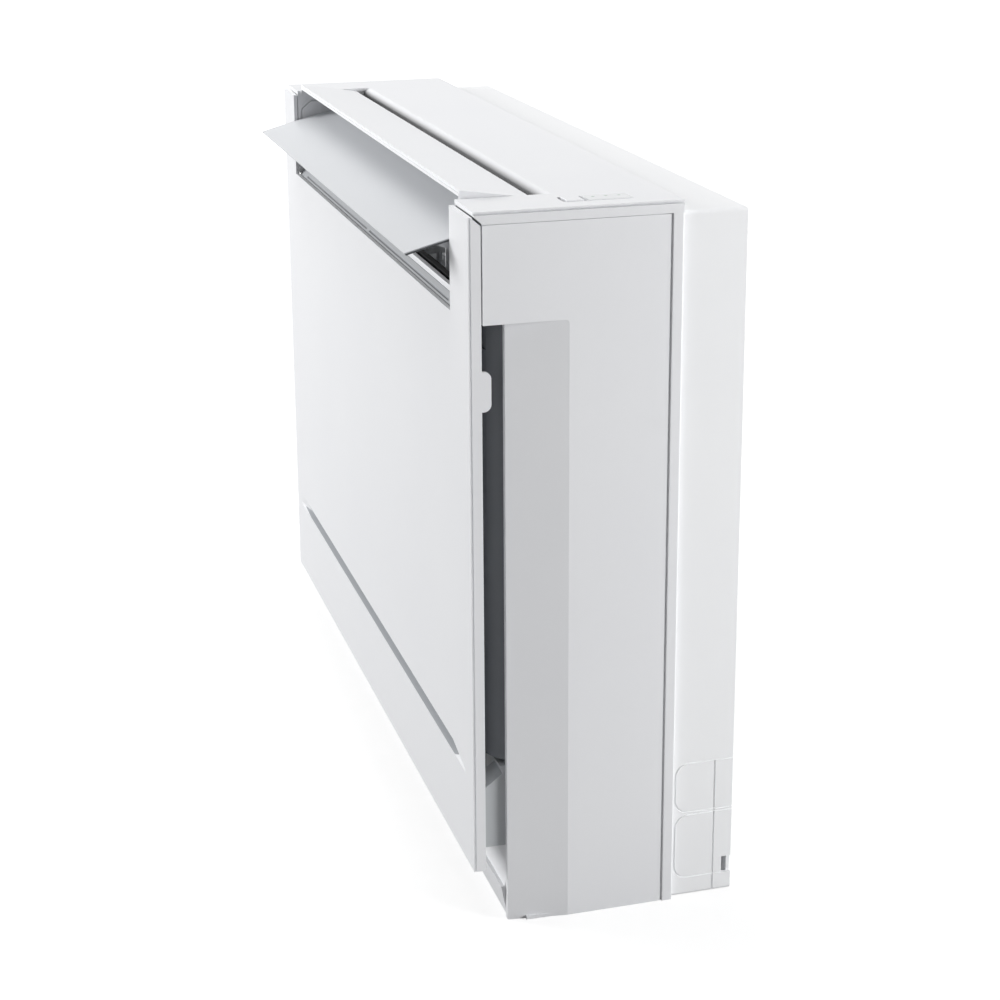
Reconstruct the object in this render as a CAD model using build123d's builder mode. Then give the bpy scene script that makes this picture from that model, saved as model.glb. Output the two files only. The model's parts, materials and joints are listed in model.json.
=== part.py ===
"""Slim floor console of an air conditioner, with its front flap and top visor open.

Frame: +X to the right seen from the front, -Y towards the room, +Z up, millimetres.
The origin is on the floor, half way across the width and half way through the depth.
"""

import os
from math import cos, radians, sin

from build123d import *

os.makedirs("parts", exist_ok=True)

# ---------------------------------------------------------------- overall
WIDTH = 750.0  # over the front panel and the casing's rims
HEIGHT = 600.0  # floor to the flat top
DEPTH = 227.0  # front panel's face to the wall
WALL = 2.7  # moulded walls of the casing and of the ducts
# _IN: in from the panel's face or from a side; _DROP: down from the top; _OFF: from the piece beside it
SEAT = 0.3  # gap between pieces that rest on each other
RUN = 0.05  # radial clearance of a pin in its hole
BITE = 1.0  # how far one feature runs into the next to join it
HALF = WIDTH / 2
FACE_Y = -DEPTH / 2
BACK_Y = DEPTH / 2

# ---------------------------------------------------------------- front panel
PANEL_T = 3.5
PANEL_BOTTOM_Z = 53.0
PANEL_TOP_GAP = 4.2  # below the casing's top face
PANEL_EDGE_R = 1.2
POST_W = 55.0  # panel's post on each side of the notch that the flap fills
NOTCH_DEPTH = 87.5  # casing's top to the lower edge of the notch
FLANGE_D = 10.0  # side flange, face to rear edge
FLANGE_T = 2.5
GROOVE_TOP_Z = 143.0  # pressed finger groove
GROOVE_H = 12.0
GROOVE_D = 7.0
GROOVE_END_D = 2.7  # depth where the run-out ends begin
GROOVE_TIP_D = 0.02  # depth where they die out
GROOVE_FLOOR = 0.22  # height of the deepest line, as a share of the groove's
GROOVE_WALL = 2.2
TAB_DROP = 140.0  # casing's top to the middle of the pull tab behind each side flange
TAB_H = 32.0
TAB_D = 7.5
RIB_T = 1.8
RIB_D = 4.0
RIB_SHARES = (0.37, 0.53, 0.70)  # heights of the panel's ribs, as shares of the casing's
PEG_R = 3.0  # catch peg behind each top corner
PEG_DROP = 44.0
PEG_IN = 28.0  # in from the panel's end
PEG_HOLE_R = 3.6
HINGE_IN = 17.5  # panel's face to the hinge
HINGE_Z = 80.0
HINGE_PIN_R = 3.0
HINGE_PIN_L = 9.0
HINGE_ARM_T = 5.0
HINGE_ARM_R = 6.5
GROOVE_LEFT_IN = 72.0
GROOVE_RIGHT_IN = 64.0
GROOVE_TIP_IN = 25.0
RIB_HALF_IN = 75.0

NOTCH_HALF = HALF - POST_W
NOTCH_Z = HEIGHT - NOTCH_DEPTH
GROOVE_LEFT_X = GROOVE_LEFT_IN - HALF
GROOVE_RIGHT_X = HALF - GROOVE_RIGHT_IN
GROOVE_TIP_X = HALF - GROOVE_TIP_IN
RIB_HALF = HALF - RIB_HALF_IN
HINGE_Y = FACE_Y + HINGE_IN
PEG_X = HALF - PEG_IN
PEG_Z = HEIGHT - PEG_DROP
TAB_Z = HEIGHT - TAB_DROP
PANEL_BACK_Y = FACE_Y + PANEL_T
FLANGE_Y = FACE_Y + FLANGE_D
PANEL_TOP_Z = HEIGHT - PANEL_TOP_GAP

# ---------------------------------------------------------------- front casing
CASE_GAP = 1.5  # rear edge of the panel's flange to the casing
CASE_SHORT = 54.5  # rear edge of the casing to the wall
RIM_H = 10.0  # band round the top
RIM_W = 9.0  # strip down the rear edge
RIM_PROUD = 1.0  # how far both stand out of the side wall
RIM_GROOVE_W = 1.2
RIM_GROOVE_D = 1.0
LIP_H = 3.6  # nose of the top over the panel's flange
LIP_GAP = 1.0  # nose to the back of the panel
SCOOP_IN = 7.0  # how far the wall has drawn in at its front edge
SCOOP_EDGE_T = 5.5
SCOOP_BOW = 0.36  # share of the draw that is reached half way
TOP_T = 3.0
BASE_T = 3.0
ROLL_R = 6.0  # rolled rear edge of the slot
ROLL_DROP = 18.0
CHEEK_T = 3.0
CHEEK_NOSE = 6.4  # cheek in front of the flap's pivot
CHEEK_UP = 22.8  # flap's pivot to the top of the nose
CHEEK_DOWN = 8.0  # flap's pivot to the bottom of the nose
CHEEK_FOOT = 14.0  # flap's pivot to where the nose meets the cheek's edge
CHEEK_BACK = 32.0  # visor's pivot to the start of the flat top
LAP = 19.0  # how far the chassis reaches into the casing
CORNER_R = 1.5
SCOOP_TOP_OFF = 0.5
SCOOP_FRONT_IN = 30.5
SCOOP_REAR_IN = 80.5
CHASSIS_HALF_IN = 4.0
MOUTH_HALF_OFF = 0.5  # half width of the opening in the top
SLOT_REAR_IN = 75.5
CHEEK_OFF = 1.5  # inner face of the outlet's end cheeks
BASE_FRONT_IN = 45.5

CASE_FRONT_Y = FLANGE_Y + CASE_GAP
CASE_REAR_Y = BACK_Y - CASE_SHORT
OVERLAP_Y = CASE_REAR_Y - LAP
SCOOP_TOP_Z = NOTCH_Z - SCOOP_TOP_OFF
SCOOP_FRONT_Y = FACE_Y + SCOOP_FRONT_IN
SCOOP_REAR_Y = FACE_Y + SCOOP_REAR_IN
CHASSIS_HALF = HALF - CHASSIS_HALF_IN
CASE_IN = CHASSIS_HALF + SEAT
SIDE_X = HALF - RIM_PROUD
MOUTH_HALF = NOTCH_HALF + MOUTH_HALF_OFF
SLOT_REAR_Y = FACE_Y + SLOT_REAR_IN
CHEEK_X = NOTCH_HALF + CHEEK_OFF
CHEEK_REAR_Y = SLOT_REAR_Y + 4.0
BASE_FRONT_Y = FACE_Y + BASE_FRONT_IN

# ---------------------------------------------------------------- flap and visor
FLAP_IN = 10.8  # panel's face to the flap's pivot
FLAP_DROP = 39.2  # casing's top to the flap's pivot
FLAP_OPEN = 75.0  # degrees from shut to the pose shown
FLAP_T = 3.2
FLAP_BOW = 1.4  # how far the section bends away from a flat
FLAP_GAP = 2.5  # flap's ends to the panel's posts
FLAP_EDGE_GAP = 3.5  # shut flap to the lower edge of the notch
FLAP_TOP_GAP = 6.0  # shut flap to the casing's top
FLAP_PIN_R = 3.0
FLAP_ARM_T = 3.0
FLAP_BOSS_R = 5.2
VISOR_IN = 50.5  # panel's face to the visor's pivot
VISOR_DROP = 7.5
VISOR_OPEN = 8.75  # degrees from shut to the pose shown
VISOR_T = 3.0
VISOR_GAP = 0.6
VISOR_SLOT = 9.0  # shut visor to the rear of the slot
VISOR_LIP_H = 4.8
VISOR_PIN_R = 2.0
VISOR_EAR_R = 4.5
VISOR_SKIRT_T = 1.4  # end skirt, clear of the flap's end
VISOR_SKIRT_H = 7.0  # end skirt's depth at the front lip

FLAP_PIVOT_Y = FACE_Y + FLAP_IN
FLAP_PIVOT_Z = HEIGHT - FLAP_DROP
FLAP_HALF = NOTCH_HALF - FLAP_GAP
FLAP_LOW = FLAP_PIVOT_Z - NOTCH_Z - FLAP_EDGE_GAP  # pivot to the free edge
FLAP_HIGH = FLAP_DROP - FLAP_TOP_GAP  # pivot to the inner edge
VISOR_HALF = NOTCH_HALF - VISOR_GAP
VISOR_PIVOT_Y = FACE_Y + VISOR_IN
VISOR_PIVOT_Z = HEIGHT - VISOR_DROP
VISOR_FRONT = VISOR_IN - 7.0  # pivot to the front lip
VISOR_REAR = SLOT_REAR_Y - VISOR_PIVOT_Y - VISOR_SLOT

# ---------------------------------------------------------------- outlet ledge
LEDGE_DROP = 8.0
LEDGE_RISE = 11.5  # front lip to the flat top
LEDGE_STEP_Z = 7.0  # front lip to the foot of the raised strip
LEDGE_SLIT_GAP = 5.0  # bridge at the middle of the slit
LEDGE_SLIT_W = 1.2
LEDGE_SLIT_D = 1.4
LEDGE_SLIT_IN = 2.6  # from the front lip
LEDGE_FRONT_IN = 4.1
LEDGE_STRIP_IN = 11.1
LEDGE_REAR_IN = 15.0
LEDGE_OFF = 1.5
LEDGE_SLIT_OFF = 29.0  # outer ends of the slit

LEDGE_FRONT_Y = FACE_Y + LEDGE_FRONT_IN
LEDGE_STRIP_Y = FACE_Y + LEDGE_STRIP_IN
LEDGE_REAR_Y = FACE_Y + LEDGE_REAR_IN
LEDGE_Z = NOTCH_Z - LEDGE_OFF
LEDGE_STEP_TOP_Z = LEDGE_Z + LEDGE_STEP_Z
LEDGE_TOP_Z = LEDGE_Z + LEDGE_RISE
LEDGE_SLIT_X = NOTCH_HALF - LEDGE_SLIT_OFF

# ---------------------------------------------------------------- upper duct and vanes
DUCT_TOP_GAP = 6.0  # duct's top edge to the casing's top plate
DUCT_SEAT = 0.4  # duct's top edge to the rolled edge
DUCT_LIP_RISE = 10.5  # deck to the duct's front lip
STRIP_W = 12.0  # foam strip on the deck, behind the lip
STRIP_T = 1.6
DUCT_STEP = 8.0
DUCT_NOTCH = 20.0  # how far the end walls stay below the duct's top edge
DUCT_CUT = 30.0  # how far in front of the cheek's rear edge they drop
VANE_MARGIN = 25.0  # end of the duct to the outermost vane's share
VANE_FIRST_X = 45.0
VANES_A_SIDE = 4
VANE_T = 1.8
VANE_REACH = 13.5  # pivot to the front and rear edges
VANE_LIFT = 6.0  # deck to the blade's lower edge
VANE_H = 37.0
VANE_PIN_R = 1.6
VANE_POST_R = 2.6
VANE_ARM = 10.5  # pivot to the link pin
VANE_SWING = 25.0
LINK_T = 2.0
LINK_W = 6.0
LINK_R = 2.5
LINK_LIFT = 1.5
LINK_PIN_R = 1.1
LINK_SLACK = 0.32
SMALL_MOTOR_R = 12.0  # gear motors of the flap, the vanes and the shutter
SMALL_MOTOR_H = 16.0
SMALL_MOTOR_EARS = 38.0
SMALL_MOTOR_EAR_W = 9.0
SMALL_MOTOR_EAR_T = 2.0
FLAP_MOTOR_BACK = 20.0
DUCT_HALF_OFF = 1.0
DUCT_FRONT_IN = 22.5
DECK_REAR_IN = 66.5
VANE_IN = 43.5
DECK_OFF = 4.5
DUCT_END_OFF = 20.0

DUCT_HALF = NOTCH_HALF + DUCT_HALF_OFF
DUCT_FRONT_Y = FACE_Y + DUCT_FRONT_IN
DECK_REAR_Y = FACE_Y + DECK_REAR_IN
VANE_Y = FACE_Y + VANE_IN
DECK_Z = NOTCH_Z - DECK_OFF
DUCT_LIP_Z = DECK_Z + DUCT_LIP_RISE
DUCT_END_Z = DECK_Z - DUCT_END_OFF
DUCT_MID_Z = DUCT_END_Z + 0.72 * (HEIGHT - 9.0 - DUCT_END_Z)
DUCT_MID_Y = SLOT_REAR_Y + 0.59 * (BACK_Y - SLOT_REAR_Y)
VANE_PITCH = (DUCT_HALF - VANE_MARGIN) / VANES_A_SIDE

# ---------------------------------------------------------------- chassis
CHASSIS_T = 3.0
CHASSIS_TOP_GAP = 10.0  # below the casing's top
CHASSIS_R = 3.0
KNOCK_TOP_Z = 123.0
KNOCK_MID_Z = 75.5
KNOCK_LOW_Z = 16.0
KNOCK_GAP = 2.5  # behind the casing's rear edge
KNOCK_R = 12.0
KNOCK_W = 1.3
KNOCK_D = 0.9
KNOCK_CUT_Z = 31.0
PIPE_WINDOW_W = 76.0
PIPE_WINDOW_H = 92.0
PIPE_WINDOW_Z = 78.0
PIPE_WINDOW_R = 6.0
FIX_R = 2.75  # wall screw holes
FIX_BOSS_R = 8.0
FIX_BOSS_H = 6.0
BACK_RIB_T = 2.4
BACK_RIB_H = 5.0
BACK_RIB_SHARES = (0.87, 0.93)
KNOCK_SEAM_IN = 16.5
KNOCK_CUT_IN = 8.5
PIPE_WINDOW_IN = 47.0
FIX_IN = 190.0  # wall screw holes, centre to centre
FIX_DROP = 220.0

CHASSIS_TOP_Z = HEIGHT - CHASSIS_TOP_GAP
CHASSIS_LEN = BACK_Y - OVERLAP_Y
INNER_BACK_Y = BACK_Y - CHASSIS_T
KNOCK_FRONT_Y = CASE_REAR_Y + KNOCK_GAP
KNOCK_SEAM_Y = BACK_Y - KNOCK_SEAM_IN
KNOCK_CUT_Y = BACK_Y - KNOCK_CUT_IN
PIPE_WINDOW_X = HALF - PIPE_WINDOW_IN
FIX_X = WIDTH - FIX_IN
FIX_Z = HEIGHT - FIX_DROP
FIX_MID_Z = HEIGHT / 2 + 50.0

# ---------------------------------------------------------------- lower outlet
APRON_LIP_Z = 28.0
APRON_TOP_Z = 66.0
APRON_LIP_T = 3.0
BLOCK_TOP_Z = 138.0
BLOCK_SLOPE = 19.0  # block's top to the front end of its slope
BLOCK_STEP = 7.0
LOWER_FLOOR_Z = 34.0
LOWER_TOP_Z = 111.8
SHUTTER_Z = 105.0
SHUTTER_H = 36.0
SHUTTER_T = 2.4
SHUTTER_PIN_R = 2.0
SHUTTER_EDGE_R = 1.0
SHUTTER_SLACK = 1.5
SHUTTER_MOTOR_BACK = 15.0
SHUTTER_MOTOR_DROP = 8.0
LOWER_RAMP = 18.0
LOWER_SWEEP = 84.2  # rear wall of the duct to the start of its upward sweep
BAR_W = 10.0
APRON_FOOT_IN = 32.0
APRON_LIP_IN = 26.5
APRON_TOP_IN = 41.5
BLOCK_IN = 39.0
BLOCK_FRONT_IN = 12.0
LOWER_HALF_IN = 75.0
SHUTTER_IN = 48.5

APRON_FOOT_Y = FACE_Y + APRON_FOOT_IN
APRON_LIP_Y = FACE_Y + APRON_LIP_IN
APRON_TOP_Y = FACE_Y + APRON_TOP_IN
BLOCK_X = HALF - BLOCK_IN
BLOCK_FRONT_Y = FACE_Y + BLOCK_FRONT_IN
BLOCK_REAR_Y = SCOOP_FRONT_Y + BITE
LOWER_HALF = HALF - LOWER_HALF_IN
SHUTTER_Y = FACE_Y + SHUTTER_IN

# ---------------------------------------------------------------- intake
GRILLE_D = 7.0
GRILLE_LOW_Z = LOWER_TOP_Z + 0.2
GUIDE_GAP = 4.0  # hinge block to the side guide
FILTER_MARGIN_X = 24.0
FILTER_MARGIN_Z = 45.0
FILTER_GAP = 10.0  # bar between the two filters
FILTER_T = 3.0
FILTER_RIM = 7.0
FILTER_NET_T = 0.7
FILTER_RIB = 1.6
FILTER_COLS = 4
FILTER_ROWS = 5
FILTER_SLACK = 1.0
PULL_W = 36.0  # finger pull on each filter's top rim
PULL_T = 1.5
BAR_T = 2.2
BAR_COLS = 5
BAR_ROWS = 6
BOWL_IN = 4.5  # depth of the side guide half way across
SLOT_W = 20.0  # short slot in each side guide
SLOT_H = 4.0
SLOT_D = 6.0
SLOT_OUT = 12.0
SCREW_R = 2.0
SCREW_ROOM = 0.2
SCREW_HEAD_R = 4.0
SCREW_HEAD_H = 2.4
SCREW_INSET_X = 8.0
SCREW_INSET_Z = 10.0
SENSOR_W = 8.0  # room sensor in its clip
SENSOR_H = 22.0
SENSOR_T = 2.0
SENSOR_R = 2.0
PROBE_L = 14.0
PROBE_W = 4.0
GRILLE_IN = 16.5
GRILLE_HALF_IN = 45.0

GRILLE_Y = FACE_Y + GRILLE_IN
GRILLE_HALF = HALF - GRILLE_HALF_IN
GRILLE_TOP_Z = DECK_Z - WALL - SEAT
GRILLE_REAR_Y = GRILLE_Y + GRILLE_D
GUIDE_LOW_Z = BLOCK_TOP_Z + GUIDE_GAP
GUIDE_TOP_Z = SCOOP_TOP_Z - SEAT
GUIDE_REAR_Y = GRILLE_Y + 16.5
FILTER_W = GRILLE_HALF - FILTER_MARGIN_X
FILTER_H = GRILLE_TOP_Z - GRILLE_LOW_Z - FILTER_MARGIN_Z
FILTER_X = (FILTER_W + FILTER_GAP) / 2
FILTER_Z = (GRILLE_LOW_Z + GRILLE_TOP_Z) / 2 + FILTER_RIM + SCREW_R
BED_W = FILTER_W + 2 * FILTER_SLACK
BED_H = FILTER_H + 2 * FILTER_SLACK
BARS_Y = GRILLE_Y + FILTER_T + 2 * SEAT
SLOT_Z = GUIDE_TOP_Z - 24.0
SCREW_X = GRILLE_HALF - SCREW_INSET_X
SENSOR_Z = FILTER_Z + FILTER_H / 4

# ---------------------------------------------------------------- heat exchanger
COIL_D = 36.0
COIL_PLATE_T = 2.0
COIL_LIFT = 16.0  # floor of the drain pan to the coil
COIL_TOP_GAP = 10.0
COIL_STAY = 0.3  # share of the coil's height that its stays take
FIN_PITCH = 12.0
FIN_T = 4.5
FIN_DEEP = 5.0
TUBE_R = 3.5
BENDS = 8
BEND_R = 10.5
PAN_T = 2.4
PAN_H = 22.0
PAN_LIP = 13.0
PAN_GAP = 0.4
COIL_LEFT_IN = 53.0
COIL_RIGHT_IN = 120.0

COIL_LEFT_X = COIL_LEFT_IN - HALF
COIL_RIGHT_X = HALF - COIL_RIGHT_IN
COIL_FRONT_Y = GRILLE_REAR_Y + 3.0
COIL_LOW_Z = LOWER_TOP_Z + SEAT + COIL_LIFT
COIL_H = DUCT_END_Z - COIL_TOP_GAP - COIL_LOW_Z
COIL_REAR_Y = COIL_FRONT_Y + COIL_D
COIL_LEN = COIL_RIGHT_X - COIL_LEFT_X
COIL_MID_X = (COIL_LEFT_X + COIL_RIGHT_X) / 2
COIL_MID_Y = (COIL_FRONT_Y + COIL_REAR_Y) / 2
COIL_MID_Z = COIL_LOW_Z + COIL_H / 2
FIN_COUNT = int((COIL_LEN - FIN_PITCH) // FIN_PITCH)
BEND_PITCH = COIL_H / BENDS

# ---------------------------------------------------------------- fan
FAN_X = -25.0
FAN_R = 148.0
FAN_BACK_T = 2.5
FAN_RING_D = 14.0
FAN_EYE_R = 104.0
FAN_BLADES = 7
FAN_BLADE_T = 2.6
BLADE_ROOT_R = 74.0  # inner end of a blade
BLADE_MID_R = 110.0
BLADE_MID_SWEEP = 22.0
BLADE_TIP_SWEEP = 26.4
EYE_FLARE = 6.0
FAN_HUB_R = 16.0
FAN_CONE_R = 66.0
HUB_STEP = 4.0
HUB_SLOPE = 8.0
HUB_FOOT = 12.0  # hub's rear end in front of the disc
SHAFT_R = 4.0
SHAFT_DEPTH = 12.0  # shaft inside the motor
SHAFT_TIP = 3.0
NUT_R = 10.0
NUT_T = 7.0
SHROUD_T = 3.0
MOUTH_R = 101.0
MOUTH_LIP = 9.0
MOUTH_T = 2.5
MOUTH_FLARE = 8.0
FAN_GAP = 7.0  # mouth plate to the fan
GUIDE_SHARE = 0.53  # fan's axis to the waist of a side guide, as a share of the duct's half
GUIDE_T = 3.0
MOTOR_R = 58.0
MOTOR_GAP = 6.0
MOTOR_BEVEL = 6.0
MOTOR_FLANGE_AT = 0.75  # share of the motor's length in front of its flange
BRACKET_T = 3.0
BRACKET_RIM = 2.0
BRACKET_LEGS = 3
BUSH_R = 7.0
BUSH_H = 5.0
BUSH_REACH = 16.0
LEG_W = 14.0
LEG_R = 2.0

BLADE_TIP_R = FAN_R - BITE / 2
SHROUD_Y = COIL_REAR_Y + 8.0  # rear face of the mouth plate
CHAMBER_D = INNER_BACK_Y - SHROUD_Y
FAN_D = 0.456 * CHAMBER_D
MOTOR_L = 0.287 * CHAMBER_D
HUB_INSET = 0.31 * FAN_D  # fan's front to the hub's
FAN_FRONT_Y = SHROUD_Y + FAN_GAP
FAN_BACK_Y = FAN_FRONT_Y + FAN_D
HUB_FRONT_Y = FAN_FRONT_Y + HUB_INSET
HUB_BACK_Y = FAN_BACK_Y - HUB_FOOT
CHAMBER_LOW_Z = LOWER_TOP_Z + SEAT
CHAMBER_TOP_Z = DUCT_END_Z - SEAT
FAN_Z = (CHAMBER_LOW_Z + CHAMBER_TOP_Z) / 2
MOTOR_Y = FAN_BACK_Y + MOTOR_GAP
FLANGE_BACK_Y = MOTOR_Y + MOTOR_L * MOTOR_FLANGE_AT
BRACKET_Y = FLANGE_BACK_Y + BUSH_H
BUSH_PLACE_R = MOTOR_R + BUSH_REACH / 2 + BITE

# ---------------------------------------------------------------- electrics
BOX_W = 74.0
BOX_T = 1.2
BOX_LIFT = 64.0  # lower outlet's top to the box
BOX_SHARE = 0.64  # height of the box as a share of the chamber's
BOARD_T = 1.6
BOARD_GAP = 12.0
BOARD_SHARE_Y = 0.76
BOARD_SHARE_Z = 0.84
BOARD_POST_R = 3.0
BOARD_POST_IN = 14.0
PART_TALL = 24.0
COVER_FLANGE = 8.0
TERMINAL_L = 48.0
TERMINAL_H = 22.0
TERMINAL_D = 20.0
TERMINAL_WAYS = 4
TERMINAL_BAR = 3.0
GLAND_Z = 150.0
GLAND_R = 9.0
GLAND_BORE_R = 4.2
GLAND_RIM = 3.0
GLAND_FLANGE = 3.0
BUTTON_W = 19.0
BUTTON_L = 14.0
BUTTON_PROUD = 0.8
BUTTON_TRAVEL = 1.0
BUTTON_SLACK = 0.4
BUTTON_RIM = 2.4
BUTTON_RIM_T = 1.2
BUTTON_EDGE_R = 0.5
STEM_R = 2.5
SWITCH_W = 6.0
SWITCH_H = 4.0
WINDOW_BACK = 28.5  # button to the middle of the window
WINDOW_L = 36.0
WINDOW_W = 20.0
WINDOW_T = 1.4
WINDOW_PROUD = 0.3
LAMP_R = 1.3
LAMP_PITCH = 10.5
LAMP_IN = 3.5
DISPLAY_DROP = 12.0
DISPLAY_W = 30.0
DISPLAY_RIM = 1.0
POST_OUT = 13.0
POST_R = 2.5
BOX_FRONT_IN = 95.5
GLAND_IN = 43.0
BUTTON_IN = 28.5
BUTTON_OFF = 62.5

BOX_X = CHASSIS_HALF - CHASSIS_T - BOX_W - 6.0
BOX_FRONT_Y = FACE_Y + BOX_FRONT_IN
BOX_LOW_Z = LOWER_TOP_Z + BOX_LIFT
BOX_H = (DUCT_END_Z - LOWER_TOP_Z) * BOX_SHARE
GLAND_X = HALF - GLAND_IN
BUTTON_X = HALF - BUTTON_IN
BUTTON_Y = OVERLAP_Y - BUTTON_OFF
WINDOW_Y = BUTTON_Y + WINDOW_BACK
DISPLAY_Z = HEIGHT - DISPLAY_DROP

# ---------------------------------------------------------------- pipes
SPIGOT_R = 8.0
SPIGOT_BORE_R = 6.5
SPIGOT_L = 22.0  # length that the hose covers
SPIGOT_COLLAR = 1.6
WALL_GAP = 1.0  # pipe ends to the wall
DRAIN_Z = 46.0
DRAIN_BEND = 18.0
PIPE_R_SMALL = 3.175
PIPE_R_LARGE = 4.76
PIPE_BEND = 10.0
GAS_Z = 76.0
LIQUID_Z = 106.0
JOG_L = 26.0
UNION_L = 20.0
UNION_HEX_L = 8.0
UNION_BORE = 0.6  # share of the union that is bored
UNION_WALL = 1.0
GAS_HEX_R = 10.5
GAS_THREAD_R = 7.94
LIQUID_HEX_R = 8.0
LIQUID_THREAD_R = 5.55
DRAIN_IN = 49.0
DRAIN_Y_IN = 57.5
GAS_IN = 18.0
GAS_Y_IN = 55.5
GAS_END_IN = 30.0
LIQUID_IN = 29.0
LIQUID_Y_IN = 37.5

DRAIN_X = DRAIN_IN - HALF
DRAIN_Y = FACE_Y + DRAIN_Y_IN
GAS_X = GAS_IN - HALF
GAS_Y = FACE_Y + GAS_Y_IN
GAS_TOP_Z = COIL_LOW_Z + COIL_H / 2
GAS_END_X = GAS_END_IN - HALF
LIQUID_X = LIQUID_IN - HALF
LIQUID_Y = FACE_Y + LIQUID_Y_IN
LIQUID_TOP_Z = COIL_LOW_Z + COIL_H / 3
UNION_Y = BACK_Y - UNION_L - 3.5
JOG_Y = UNION_Y - JOG_L - 48.0
PIPE_START_X = COIL_LEFT_X - COIL_PLATE_T
SPIGOT_END_Y = BACK_Y - WALL_GAP


def finish(piece, name):
    """Label a piece and write it to its own file."""
    piece.part.label = name
    export_step(piece.part, f"parts/{name}.step")


def tilted(y, z, degrees):
    """Section plane across X, on the pivot at (y, z), turned about X."""
    turn = radians(degrees)
    return Plane(origin=(0, y, z), x_dir=(0, cos(turn), sin(turn)), z_dir=(1, 0, 0))


def across(x):
    """Section plane across X at the given place."""
    return Plane.YZ.offset(x)


def facing(y):
    """Plane that faces the room at depth y, with X to the right and Z up."""
    return Plane.XZ.offset(-y)


# ---------------------------------------------------------------- front casing
RIM_REAR_Y = CASE_REAR_Y - RIM_W
RIM_Z = HEIGHT - RIM_H
LIP_Y = PANEL_BACK_Y + LIP_GAP
PEG_BACK_Y = CASE_FRONT_Y + WALL
CEILING_Z = HEIGHT - TOP_T
SCOOP_X = SIDE_X - SCOOP_IN
BLOCK_OUT_X = SCOOP_X - SCOOP_EDGE_T - SEAT
BOARD_FRONT_Y = BUTTON_Y - POST_OUT
BOARD_BACK_Y = WINDOW_Y + WINDOW_L / 2 + POST_R + BITE
LAMP_PLACES = [(BUTTON_X - LAMP_IN, WINDOW_Y + i * LAMP_PITCH) for i in (-1, 0, 1)]

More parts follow.
